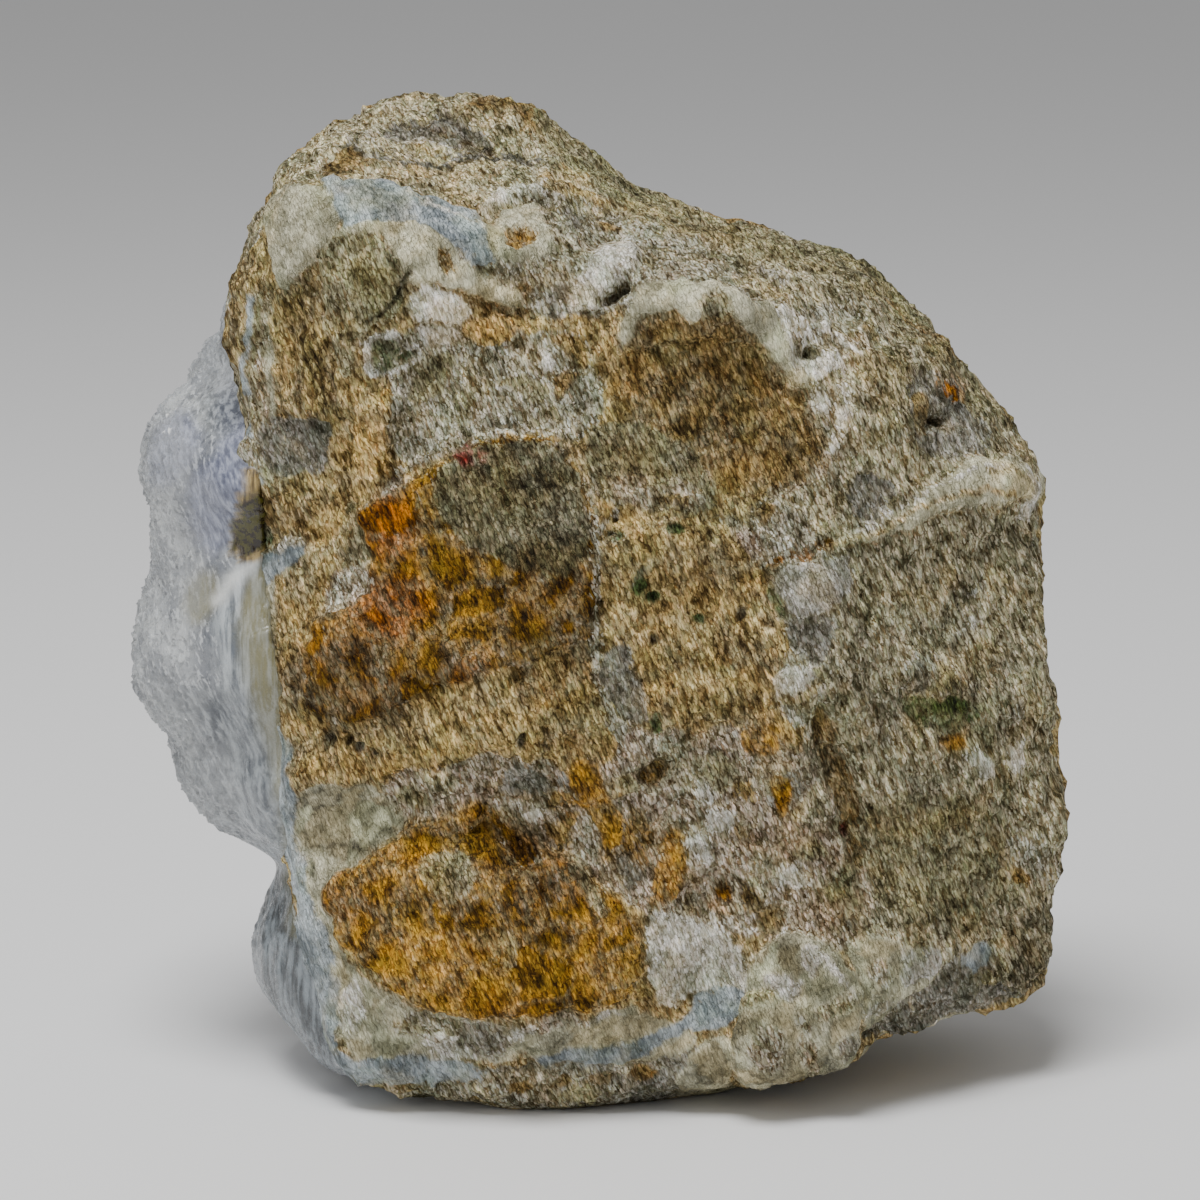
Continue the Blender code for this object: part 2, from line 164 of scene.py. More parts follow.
def seen_at(points, waver=0.0, waver_size=1.0, octaves=1):
    """How far across and down the face each point is seen. With a waver, drawn edges wander."""
    away = points - EYE
    scale = EYE_DISTANCE / (away @ EYE_LINE) * TENTHS
    across, down = FACE_MIDDLE + away[:, 0] * scale, FACE_MIDDLE - (away @ EYE_UP) * scale
    if waver:
        across += waver * lumps(points, waver_size, 1.7, 0.7, octaves)
        down += waver * lumps(points, waver_size, 8.3, 0.7, octaves)
    return across, down


EDGE_WAVER = 7.0

rock = copy_of("host_rock", "host_rock_detail")
even_out(rock, ROCK_GRAIN, ROCK_SMOOTHING)
rock_faces = rock.data.polygons
split_faces(rock, facing(rows_of(rock_faces, "center") / MM, rows_of(rock_faces, "normal")) > EDGE_ON)
rock_points = places(rock.data)
rock_ways = directions(rock.data)
in_view = rise_between(facing(rock_points, rock_ways), 0.0, SQUARE_ENOUGH)
seen_x, seen_y = seen_at(rock_points, EDGE_WAVER, 3.6, 4)

# The last kind is no stone but painted shade: near-black colour laid in the pits and crease lines.
KINDS = ("tan", "dun", "olive", "brown", "rust", "grey", "cream", "lilac", "blue", "white", "slate", "green",
         "red", "pit_shade")
FAR = 6.0
CREASE_WIDTH = 0.35
inside = {kind: np.full(len(rock_points), -FAR) for kind in KINDS}
inside["tan"][:] = FAR
relief = np.zeros(len(rock_points))
tone = np.zeros(len(rock_points))
stains = {name: np.zeros(len(rock_points)) for name in ("iron", "gold", "shade")}


def corners_of(outline):
    """An outline's corners, which are written as across,down with a space between one and the next."""
    return np.array([[float(n) for n in corner.split(",")] for corner in outline.split()])


def distance_to_side(x, y, start, end):
    """How far each place is from one straight side."""
    (ax, ay), (ex, ey) = start, end - start
    along = np.clip(((x - ax) * ex + (y - ay) * ey) / (ex * ex + ey * ey + 1e-9), 0.0, 1.0)
    return np.hypot(x - ax - along * ex, y - ay - along * ey)


def depth_inside(outline):
    """How far inside a closed outline each point is seen, in millimetres; below 0 outside it."""
    corners = corners_of(outline)
    for _ in range(2):
        after = np.roll(corners, -1, axis=0)
        corners = np.stack([0.75 * corners + 0.25 * after, 0.25 * corners + 0.75 * after], axis=1)
        corners = corners.reshape(-1, 2)
    reach = FAR * TENTHS
    low, high = corners.min(axis=0) - reach, corners.max(axis=0) + reach
    near = (seen_x > low[0]) & (seen_x < high[0]) & (seen_y > low[1]) & (seen_y < high[1])
    x, y = seen_x[near], seen_y[near]
    nearest = np.full(len(x), reach)
    within = np.zeros(len(x), bool)
    for start, end in zip(corners, np.roll(corners, -1, axis=0)):
        nearest = np.minimum(nearest, distance_to_side(x, y, start, end))
        (ax, ay), (bx, by) = start, end
        if ay != by:
            within ^= ((ay > y) != (by > y)) & (x < (bx - ax) * (y - ay) / (by - ay) + ax)
    depth = np.full(len(seen_x), -FAR)
    depth[near] = np.where(within, nearest, -nearest) / TENTHS
    return depth


def depth_in_line(line, width):
    """The same for a line of this width through the given places."""
    ends = corners_of(line)
    nearest = np.full(len(seen_x), FAR * TENTHS)
    for start, end in zip(ends[:-1], ends[1:]):
        nearest = np.minimum(nearest, distance_to_side(seen_x, seen_y, start, end))
    return (width / 2.0 - nearest) / TENTHS


def depth_in_spot(x, y, across, down, lean=0.0):
    """The same for an oval spot, given its half sizes. Lean turns it clockwise, in degrees."""
    c, s = math.cos(math.radians(lean)), math.sin(math.radians(lean))
    right, below = seen_x - x, seen_y - y
    out = np.hypot((right * c + below * s) / across, (below * c - right * s) / down)
    return np.maximum((1.0 - out) * min(across, down) / TENTHS, -FAR)


def soft_spot(x, y, across, down, lean):
    """The same again, as a share of the spot's size: 1 at its edge, more inside, and less far outside."""
    return 1.0 + depth_in_spot(x, y, across, down, lean) * TENTHS / min(across, down)


def lay(kind, depth, rise=0.0, edge=0.8, pale=0.0, crease=0.0):
    """Lays one kind of stone over what is there: how far it stands out, over what width of edge, how much
    paler it is, and how deep the crease round it is."""
    global relief, tone
    for other in KINDS:
        inside[other] = np.minimum(inside[other], -depth)
    inside[kind] = np.maximum(inside[kind], depth)
    toned = rise_between(depth, -0.3, 0.3)
    tone = tone * (1.0 - toned) + pale * toned
    cover = rise_between(depth, -edge / 2.0, edge / 2.0)
    relief += rise * cover - crease * np.exp(-((depth / CREASE_WIDTH) ** 2))


def patch(kind, outline, **looks):
    """Lays a patch with this outline."""
    lay(kind, depth_inside(outline), **looks)


def band(kind, width, line, **looks):
    """Lays a band of this width along a line."""
    lay(kind, depth_in_line(line, width), **looks)


def spot(kind, x, y, across, down, lean=0.0, **looks):
    """Lays an oval spot."""
    lay(kind, depth_in_spot(x, y, across, down, lean), **looks)


def spots(lean, rise, edge, rows):
    """Lays oval spots that lean, rise and end alike."""
    for kind, x, y, across, down, pale in rows:
        spot(kind, x, y, across, down, lean, rise=rise, edge=edge, pale=pale)


def stain(name, x, y, across, down, amount, lean=0.0):
    """Adds a soft-edged stain."""
    strength = amount * rise_between(soft_spot(x, y, across, down, lean), 0.2, 1.5)
    stains[name] = np.maximum(stains[name], strength)


def darken(x, y, across, down, amount, lean=0.0):
    """Makes the stone darker over a soft-edged spot, or paler with an amount below 0."""
    global tone
    tone = tone - amount * rise_between(soft_spot(x, y, across, down, lean), 0.1, 1.6)


# Where nothing else lies: greyer stone on the right and over the ridge, mottled purple-grey cement low down.
patch("dun", "560,120 700,190 900,270 1020,400 1080,560 1090,900 1000,1040 860,960 800,760 800,620 770,480 "
    "700,300 600,230", edge=3.0)
patch("lilac", "600,740 700,725 800,740 860,830 880,940 830,960 760,930 690,940 620,900 590,820", edge=3.0,
    pale=0.12)
patch("grey", "585,470 610,440 625,520 612,640 640,740 600,760 590,640")
patch("grey", "748,500 800,505 830,560 840,640 820,700 790,740 775,690 800,650 770,590 752,550",
    pale=-0.05)
# Top: the banded brown cap that slopes back, and the ledge of cream and blue-grey chalcedony along its rim.
patch("dun", "255,205 300,130 380,80 520,85 620,160 600,210 520,190 480,205 400,195 340,178 280,190",
    pale=0.32)
patch("brown", "470,92 515,97 556,118 562,136 530,132 500,112 470,104")
patch("slate", "388,124 407,116 439,115 464,122 487,134 500,147 471,151 439,144 407,144 386,139",
    rise=-0.3, pale=-0.25)
spots(20, -0.3, 0.5, [("pit_shade", x, y, 8, 4, 0.7) for x, y in (
    (404, 124), (426, 122), (448, 130), (470, 138), (488, 144))])
band("white", 5, "348,136 375,134 405,141 445,146", rise=0.2)
patch("brown", "320,170 336,150 372,145 380,156 352,174 324,182", pale=-0.15)
band("slate", 6, "345,146 390,154 440,158 500,154 540,160", pale=-0.15)
stain("gold", 430, 165, 50, 16, 0.25)
# Painted shade: a near-black line in the crease under the cap's ledge.
band("pit_shade", 2, "446,165 470,160 500,158", rise=-0.3)
patch("grey", "470,214 483,200 503,189 530,180 560,182 580,200 612,205 660,222 700,240 740,262 775,285 "
    "790,305 760,300 700,285 640,300 590,312 540,318 500,300 478,270 466,240", rise=-0.5, edge=3.0)
patch("cream", "486,215 505,200 535,196 548,215 560,245 545,262 520,268 498,255 484,238", rise=0.3,
    edge=1.5, pale=0.05)
band("white", 7, "484,209 503,194 535,184 560,188", rise=0.7, edge=0.5, pale=0.3)
band("brown", 4, "490,218 507,203 535,194 556,197", rise=-0.4, edge=0.5, pale=-0.2)
band("tan", 9, "540,180 580,188 610,200", rise=0.3)
patch("slate", "560,203 575,198 592,206 588,220 570,222", rise=-0.4)
patch("white", "580,270 590,257 606,238 625,230 644,243 637,260 628,275 612,288 596,297 580,300 572,285",
    rise=0.5, edge=1.2)
spot("olive", 653, 248, 13, 8, -30, rise=-0.2)
patch("lilac", "648,268 680,262 700,270 690,278 655,277", rise=-0.3)
patch("dun", "735,262 800,285 850,300 885,345 865,335 820,312 780,298 745,282", pale=0.2)

# Upper left: the ledge lobes, the tongue of olive rock, the streaked fragment and what lies round them.
patch("tan", "235,270 262,215 280,260 300,300 290,420 262,470 240,400 228,320", pale=-0.05)
for x, kind, pale in ((246, "blue", 0.0), (255, "olive", 0.1), (264, "lilac", 0.2), (272, "cream", -0.1)):
    band(kind, 8, f"{x + 4},300 {x - 4},370 {x},430 {x + 10},480", pale=pale)
patch("cream", "266,210 279,190 299,187 318,191 333,202 341,217 334,235 324,248 318,262 305,274 294,284 "
    "281,288 272,268 268,238", rise=1.3, edge=1.8, crease=0.25)
darken(450, 103, 80, 16, 0.2)
darken(296, 244, 12, 34, 0.16, 4)
darken(276, 256, 8, 26, -0.12)
patch("blue", "318,188 327,180 343,178 356,183 372,185 394,191 413,197 439,202 458,206 477,214 488,233 "
    "494,256 484,268 464,256 439,244 417,238 397,232 381,234 362,230 346,230 340,218 330,201", rise=1.1,
    edge=1.4, crease=0.05, pale=0.06)
band("white", 3, "400,199 430,212 462,220 486,232", rise=0.2, edge=0.5)
patch("cream", "324,243 343,226 366,225 381,229 397,226 417,230 439,239 458,252 474,265 493,275 512,287 "
    "524,304 510,312 487,302 458,292 432,286 417,288 405,282 390,262 378,246 366,238 343,236 330,250",
    rise=0.8, edge=1.2, crease=0.06, pale=0.38)
stain("gold", 447, 262, 14, 18, 0.5, -20)
# Painted shadow: a dark brown band along the lower edge of the cream arm, where its shade falls.
band("brown", 8, "439,287 470,297 498,309 522,322", rise=-0.4, pale=-0.1)
patch("rust", "433,252 446,250 458,262 456,273 444,272 436,264", rise=-0.6, edge=0.6)
patch("olive", "321,254 327,240 343,233 366,235 385,244 397,260 409,282 407,296 395,313 377,327 362,338 "
    "356,352 354,368 343,386 336,367 329,335 323,303 319,278", rise=0.9, edge=1.5, crease=0.3, pale=0.12)
patch("tan", "268,292 292,287 311,294 324,303 330,335 340,367 353,383 356,399 345,418 327,424 311,418 "
    "289,426 281,399 276,367 271,335", rise=0.5, edge=1.0, pale=0.08, crease=0.25)
for x in (296, 306, 318, 330):
    band("brown", 3.2, f"{x - 6},306 {x},350 {x + 8},400 {x + 6},415", rise=-0.3, pale=-0.55)
patch("slate", "256,420 286,414 316,418 330,426 329,452 322,474 300,480 276,478 260,466 252,444",
    rise=-0.3, edge=1.2, pale=-0.2)
patch("tan", "356,417 375,386 391,391 392,424 389,455 377,474 360,484 352,463", rise=0.3, pale=0.62)
stain("gold", 374, 430, 18, 46, 0.45, 8)
patch("grey", "394,352 412,322 440,320 470,330 520,338 560,328 592,340 606,380 602,420 588,442 560,436 "
    "520,434 470,443 430,458 402,466 392,440 393,400", rise=-0.5, edge=1.5)
patch("white", "410,300 426,286 442,289 461,296 476,306 472,318 455,321 439,318 423,318 412,312", rise=0.5,
    edge=1.0, pale=0.55)
patch("tan", "458,321 480,312 515,318 522,332 505,345 480,345 462,338", rise=0.1, pale=0.1)
stain("gold", 490, 330, 32, 14, 0.4)
patch("white", "364,342 386,328 415,336 426,352 414,368 392,378 370,376 360,362", rise=0.2, pale=-0.35)
patch("green", "370,348 386,337 410,342 419,354 408,364 390,372 374,368", rise=-0.6)
for x, y in ((382, 362), (400, 360), (404, 350)):
    spot("grey", x, y, 4, 3, 30, rise=0.3, edge=0.4)
band("white", 2, "487,383 510,395 535,412 562,438", rise=0.3, edge=0.4)
# Painted shade: a near-black line in the crease along the tongue's lower right edge.
band("pit_shade", 5, "409,276 397,292 383,310 370,324", rise=-0.6, edge=0.6)
band("pit_shade", 3, "340,183 350,177 358,181", rise=-0.5)
patch("pit_shade", "596,303 609,289 625,277 629,286 618,299 606,306", rise=-2.0, edge=1.2)
band("white", 4, "560,302 585,302 608,306 640,303", rise=0.6, edge=0.5)
patch("rust", "503,226 515,220 527,222 538,230 530,242 516,248 508,238", rise=-0.9, edge=0.9)
stain("gold", 519, 232, 20, 14, 0.8)
band("white", 3, "760,261 775,270 788,282", rise=0.4, edge=0.4)
band("pit_shade", 2, "766,268 780,279 790,287", rise=-0.4)

# Upper right: the big brown fragment under its cream rim, the rough ridge behind, and the grey fragment.
patch("dun", "560,120 606,150 644,178 685,192 714,208 759,216 803,232 855,245 890,265 912,290 935,325 "
    "900,315 877,300 854,292 829,300 797,281 771,265 739,250 708,228 660,212 612,192 585,170", edge=2.0,
    pale=0.32)
band("olive", 46, "556,120 600,158 650,196 705,210 773,226 840,250 889,278 925,318 960,345 985,385",
    edge=1.5, pale=0.14)
patch("cream", "600,364 606,343 615,325 631,299 647,284 660,279 685,279 708,283 727,289 746,294 762,303 "
    "775,316 782,337 788,356 800,370 810,386 794,386 781,372 768,360 752,350 735,340 640,345", rise=1.0,
    edge=1.6, pale=0.22)
patch("brown", "622,342 638,320 658,311 676,314 688,324 700,322 714,308 732,306 742,325 759,343 778,366 "
    "797,387 818,409 828,431 828,454 812,470 786,479 770,492 752,498 734,496 715,476 702,457 676,438 "
    "644,428 614,404 601,372 612,353", rise=-0.5, edge=1.4, crease=0.2)
stain("gold", 618, 366, 16, 30, 0.35)
stain("gold", 740, 470, 34, 16, 0.25)
darken(735, 335, 26, 40, 0.25, 30)
stain("shade", 700, 440, 40, 25, 0.35, 20)
patch("olive", "698,306 712,293 730,298 738,314 722,322 706,320", rise=-0.3, edge=0.6, pale=0.15)
patch("tan", "604,330 618,322 622,345 612,375 600,380 596,350", pale=0.05)
stain("gold", 610, 332, 14, 14, 0.55)
band("pit_shade", 2, "715,396 722,415 733,430 742,455 738,472", rise=-0.3)
darken(795, 350, 22, 44, -0.45)
patch("white", "776,305 792,308 804,322 801,343 822,350 834,372 822,387 803,383 788,358 778,337", rise=0.4,
    edge=1.0, pale=0.5)
patch("grey", "798,304 830,300 862,312 888,335 884,352 855,350 830,346 806,340", rise=-0.3, pale=0.1)
for x, y, length, lean in ((792, 318, 16, 50), (826, 322, 14, 60), (850, 338, 16, 55), (870, 346, 12, 62),
                           (838, 362, 14, 70), (860, 376, 12, 62), (822, 404, 12, 75), (842, 418, 14, 80),
                           (832, 440, 10, 85), (846, 396, 9, 70), (806, 330, 12, 40), (786, 344, 10, 80)):
    spot("white", x, y, length + 2, 6, lean, rise=0.3, edge=0.5, pale=0.4)
    spot("lilac", x + 9, y + 2, length - 2, 3, lean, rise=-0.1, pale=0.1)
spot("pit_shade", 810, 356, 8, 7, rise=-0.9, edge=0.7, pale=0.5)
patch("dun", "846,352 880,352 905,372 915,410 925,450 922,486 896,512 880,474 862,468 850,430 844,390",
    rise=0.4, edge=1.5, pale=0.25)
patch("slate", "905,391 925,372 948,380 970,398 988,420 993,444 974,458 937,457 918,441 911,417",
    rise=-0.3, edge=1.2, pale=0.2)
patch("brown", "912,400 925,384 934,400 928,436 916,430", pale=-0.1)
spot("pit_shade", 940, 421, 10, 5, -10, rise=-1.4, edge=0.9)
patch("rust", "936,378 946,380 956,388 962,395 950,398 941,389", rise=0.4, edge=0.5)
stain("iron", 948, 387, 16, 12, 0.6)
patch("cream", "895,522 912,502 937,482 963,464 982,458 1001,457 1022,462 1036,480 1040,498 1010,502 "
    "988,500 963,508 931,518 905,528 870,538 840,545 845,536 875,530", rise=0.9, edge=1.6, pale=0.36,
    crease=0.1)
band("tan", 5, "800,556 880,528 930,506 975,492 1010,494", pale=0.3)
band("white", 3, "860,528 910,505 950,480 1000,468", rise=0.2, edge=0.4, pale=0.1)
band("brown", 3, "845,548 905,531 960,513 1010,505 1036,500", rise=-0.3)
band("dun", 4, "985,476 1010,470 1034,486", pale=0.2)
patch("slate", "851,482 868,474 890,480 895,500 886,517 867,524 852,506", rise=-0.4, edge=0.9, pale=0.22)
patch("olive", "598,420 640,426 690,446 712,480 716,505 690,508 640,502 600,500 586,460", pale=-0.16)
patch("lilac", "604,480 640,470 680,484 706,500 680,508 630,504")
stain("shade", 655, 462, 50, 30, 0.2)
band("lilac", 8, "770,497 795,480 822,474 834,455", rise=-0.3, pale=0.1)
patch("lilac", "712,508 735,515 758,535 768,560 760,566 738,545 716,522", rise=-0.3)
band("rust", 6, "770,560 795,560 815,550 830,540", rise=-0.4, edge=0.5)
stain("iron", 800, 555, 26, 8, 0.6, -15)

# Middle: the big rusty fragment, the pitted tan one beside it, and the seams round them.
patch("olive", "290,500 350,500 380,520 370,560 330,620 310,660 292,720 268,700 270,640 290,590 268,560",
    pale=0.2)
stain("gold", 310, 600, 30, 70, 0.4, 10)
patch("rust", "352,512 385,496 430,470 470,446 520,438 562,442 586,470 594,540 594,610 592,640 576,650 "
    "541,660 506,666 488,668 450,680 418,690 400,704 388,720 345,719 306,716 306,680 314,640 322,612 "
    "348,606 370,585 376,556 362,536", rise=0.9, edge=1.6, crease=0.15)
stain("iron", 392, 524, 24, 24, 0.9)
stain("iron", 390, 610, 32, 30, 1.0)
stain("iron", 350, 665, 44, 30, 0.45)
stain("gold", 450, 600, 40, 60, 0.15)
stain("shade", 350, 685, 66, 38, 1.0)
stain("shade", 440, 650, 56, 24, 0.5)
stain("shade", 545, 610, 50, 54, 0.85)
stain("iron", 465, 668, 26, 10, 0.6, -20)
patch("olive", "432,476 470,450 520,441 560,446 582,475 590,530 585,570 540,575 500,560 470,545 445,520",
    pale=-0.5)
band("grey", 6, "394,470 430,458 470,440 520,433 560,436", rise=0.3, edge=0.6, pale=0.2)
spot("red", 468, 454, 7, 15, 5, rise=-0.1, pale=0.2)
spot("red", 484, 461, 5, 7, pale=0.5)
patch("lilac", "322,613 327,584 345,567 366,563 377,580 368,597 348,604 334,616", rise=-0.3)
patch("lilac", "380,500 398,492 412,480 400,474 380,484", pale=0.05)
patch("tan", "598,512 650,506 700,508 735,518 748,560 768,600 782,636 792,656 779,678 766,713 746,728 "
    "719,731 696,741 673,728 648,740 625,722 608,690 598,640 600,580", rise=-0.6, edge=1.2, pale=0.1,
    crease=0.2)
patch("tan", "292,744 306,720 387,722 418,690 488,668 576,654 606,700 622,752 600,764 559,766 506,762 "
    "453,767 418,773 383,786 348,786 300,781", rise=-0.1, edge=1.0, pale=0.12)
stain("gold", 400, 765, 110, 14, 0.4, -4)
for x, y, size in ((325, 735, 4), (345, 740, 5), (357, 750, 5), (372, 752, 4), (525, 746, 6), (425, 549, 4),
                   (600, 600, 5), (655, 640, 6), (740, 612, 6), (617, 511, 4)):
    spot("pit_shade", x, y, size, size * 1.2, rise=-0.6, edge=0.4)
spot("green", 677, 528, 8, 9, rise=-0.5, edge=0.5)
patch("green", "636,572 645,568 650,585 645,604 638,596", rise=-0.5, edge=0.5)
spot("green", 655, 603, 7, 6, rise=-0.5, edge=0.4)
spot("green", 614, 532, 8, 8, rise=-0.6, edge=0.5)
spot("grey", 614, 533, 4, 4, rise=0.2, edge=0.3)
spot("green", 701, 618, 5, 4, rise=-0.4, edge=0.4)
patch("slate", "600,660 616,640 630,652 640,690 655,720 640,732 622,715 606,690", rise=-0.2, pale=0.2)
patch("green", "652,715 660,708 666,725 660,738 652,732", rise=-0.2, pale=0.5)
patch("white", "771,573 803,563 845,556 856,573 848,598 832,607 805,616 788,620 778,600", rise=0.2,
    pale=-0.46)
patch("slate", "789,622 819,610 838,616 832,640 819,664 806,672 797,656 790,638", rise=-0.4)
patch("green", "768,578 778,596 790,622 782,622 766,600", pale=0.3)
patch("white", "776,690 779,674 792,668 811,672 806,690 786,698", rise=0.3, pale=-0.1)

# Right side: the broad streaked face that turns away, with its groove and patches.
patch("brown", "812,699 832,711 842,764 856,792 861,832 864,872 852,866 842,825 828,779 814,729",
    rise=-0.7, edge=1.5, pale=-0.25)
spot("red", 848, 829, 5, 5, rise=-0.3, pale=-0.3)
patch("grey", "898,663 928,655 957,668 960,690 928,698 903,690", rise=0.1, pale=0.1)
patch("green", "903,700 931,696 961,696 987,706 978,720 951,731 914,724", rise=-0.3, edge=0.7, pale=0.55)
band("green", 3, "905,700 914,722 948,731 978,722", rise=-0.3, edge=0.4)
spot("rust", 956, 739, 11, 7, rise=0.1)
stain("gold", 956, 739, 14, 9, 0.7)
patch("white", "957,753 978,745 1000,761 996,780 971,773", rise=0.3, edge=0.7)
patch("white", "1010,747 1024,738 1033,766 1018,778", rise=0.2, edge=0.6)
for x, y, across, down in ((975, 590, 14, 5), (972, 624, 13, 6), (1022, 720, 8, 8)):
    spot("grey", x, y, across, down, -15, pale=0.15)
patch("olive", "866,800 912,790 961,794 996,818 1006,862 1000,905 973,933 938,927 905,927 878,900 863,862",
    rise=0.1, pale=0.1)
patch("grey", "1006,838 1046,836 1066,852 1059,880 1021,890 1006,872", pale=0.05)
stain("shade", 1020, 950, 26, 50, 0.3)
patch("white", "1018,458 1034,462 1044,480 1044,520 1030,520 1024,490", rise=0.2)
darken(1040, 620, 40, 200, -0.15)

# Lower left: the orange fragment in its cream and grey chalcedony, and the purple-grey seam above it.
patch("cream", "292,786 331,786 380,790 404,820 384,841 354,865 329,879 321,897 340,960 383,995 436,1016 "
    "506,1027 541,1027 604,1010 640,1010 650,1035 620,1053 559,1053 471,1060 401,1060 366,1064 343,1044 "
    "330,981 308,897 296,862", rise=-0.3, edge=1.2, pale=0.02)
darken(345, 830, 45, 50, 0.12)
darken(320, 800, 8, 60, 0.15)
darken(365, 830, 10, 40, 0.12, 10)
patch("lilac", "378,786 418,771 471,762 506,760 534,765 562,770 578,799 592,827 613,855 640,850 680,795 "
    "700,815 746,815 768,832 781,862 794,895 781,914 759,927 739,924 713,914 693,900 650,905 625,892 "
    "590,872 559,843 527,822 502,815 471,801 436,815 415,815 401,822 380,803", rise=-0.6, edge=1.2,
    crease=0.1, pale=0.16)
patch("rust", "326,884 348,866 376,849 404,829 420,815 446,811 474,802 495,812 511,826 541,840 555,857 "
    "587,875 606,886 622,900 640,950 641,985 606,1003 576,1007 541,1012 509,1014 492,1017 471,1020 "
    "436,1014 401,996 373,975 345,947 329,906", rise=1.1, edge=1.6, crease=0.25, pale=0.14)
patch("olive", "424,862 450,850 474,866 478,890 450,904 426,892")
patch("olive", "476,920 505,926 524,944 520,966 496,958 478,940", pale=-0.05)
stain("iron", 345, 900, 30, 36, 0.25, -20)
stain("gold", 460, 965, 60, 40, 1.0)
stain("gold", 610, 960, 36, 44, 0.8)
stain("gold", 390, 900, 60, 50, 0.45)
stain("iron", 545, 862, 40, 16, 0.6, 45)
stain("shade", 520, 858, 54, 28, 0.9, 42)
stain("shade", 455, 905, 26, 26, 0.25)
stain("shade", 470, 815, 50, 14, 0.4)
band("rust", 16, "484,828 515,846 540,872 553,900", rise=-0.9, edge=1.4, pale=-0.3)
band("olive", 14, "505,818 545,846 580,876 600,905", rise=0.3, edge=1.0, pale=0.1)
patch("rust", "562,768 590,756 607,780 624,820 620,852 605,856 590,824 572,795", rise=0.3, pale=0.1)
stain("gold", 594, 805, 30, 50, 0.6, -25)
patch("rust", "655,874 659,845 675,828 691,832 691,862 684,893 670,907 656,897", rise=0.3, pale=0.05)
stain("gold", 673, 866, 22, 40, 0.6)
patch("rust", "643,768 658,758 668,768 667,781 648,793 638,781", rise=-1.4, edge=0.9, pale=-0.2)
band("cream", 3, "660,756 670,768 667,782 648,795", rise=0.5, edge=0.5)
patch("olive", "694,757 723,750 741,772 728,788 710,788", rise=-0.2)
patch("rust", "744,729 765,724 780,736 776,756 756,760 744,746", pale=0.1)
stain("gold", 762, 742, 22, 20, 0.6)
patch("rust", "770,780 790,776 796,800 786,822 772,815", pale=0.15)
stain("gold", 784, 798, 16, 28, 0.4)
patch("white", "698,813 726,804 747,819 740,833 719,836 705,829", rise=0.3)
spots(60, 0.2, 0.6, (
    ("olive", 720, 770, 14, 9, -0.3), ("brown", 745, 785, 12, 8, -0.2), ("white", 700, 850, 16, 12, -0.2),
    ("lilac", 735, 868, 14, 10, 0.35), ("lilac", 770, 850, 10, 16, 0.3),
    ("brown", 752, 900, 16, 10, -0.35), ("rust", 722, 892, 12, 8, -0.1), ("brown", 640, 820, 12, 10, -0.3),
    ("slate", 630, 870, 14, 8, 0.0), ("white", 790, 880, 12, 16, -0.25), ("brown", 745, 832, 9, 6, -0.3),
    ("olive", 812, 850, 10, 14, 0.0), ("lilac", 680, 815, 10, 8, 0.25), ("white", 705, 790, 10, 7, -0.3),
    ("brown", 660, 915, 14, 8, -0.3)))
stain("iron", 716, 914, 16, 16, 0.5)
patch("brown", "756,912 776,902 786,916 776,938 758,936", rise=-0.3)

# Along the foot: white and cream quartz, the blue-grey chalcedony band and the dark stone at the corners.
patch("white", "644,925 660,905 682,916 720,927 748,953 748,990 726,1000 706,993 681,998 660,1012 648,978",
    rise=0.2, pale=0.05)
patch("slate", "480,1062 560,1066 640,1060 700,1042 690,1085 640,1115 560,1115 470,1100", pale=0.05)
patch("grey", "470,1072 540,1074 600,1078 640,1100 560,1112 470,1100 400,1088", pale=-0.15)
spots(8, 0.15, 0.6, (
    ("grey", 425, 1030, 34, 14, -0.1), ("slate", 480, 1040, 30, 16, 0.15),
    ("white", 535, 1036, 26, 14, -0.3), ("cream", 390, 1012, 20, 12, 0.12),
    ("white", 350, 1005, 12, 26, -0.12), ("lilac", 565, 1022, 30, 10, 0.1),
    ("white", 610, 1026, 22, 12, -0.25), ("white", 450, 1052, 22, 9, -0.3)))
patch("cream", "520,1030 580,1020 640,1012 700,1030 690,1052 640,1060 580,1064 520,1060", rise=0.2,
    pale=-0.05)
patch("blue", "330,1050 372,1063 418,1057 471,1063 487,1078 464,1086 418,1084 370,1084 322,1082 300,1062",
    rise=0.1, pale=-0.08)
band("blue", 15, "540,1062 590,1058 640,1046 684,1022 700,1010", rise=0.1, edge=0.6, pale=-0.3)
patch("blue", "688,1006 704,992 719,986 740,990 742,1008 728,1026 704,1034 690,1024", rise=0.1, pale=-0.08)
for x in (520, 560, 600, 640):
    spot("brown", x, 1090 - (x - 520) // 8, 14, 8, -8, pale=-0.2)
    spot("grey", x + 18, 1080 - (x - 520) // 8, 8, 5, 12, rise=0.2, edge=0.5)
patch("cream", "738,1012 746,978 750,955 786,930 820,936 853,969 864,1011 864,1040 846,1063 825,1080 "
    "779,1080 736,1085", rise=1.3, edge=1.5, pale=-0.1, crease=0.2)
patch("cream", "690,1052 736,1030 738,1085 700,1100 670,1092", rise=0.3, pale=-0.02)
patch("cream", "852,937 898,936 933,960 930,980 907,1006 888,1026 868,1036 864,1008 855,968", rise=0.4,
    edge=1.2, pale=0.02)
band("white", 5, "822,952 838,975 850,1000", rise=0.5, edge=0.5)
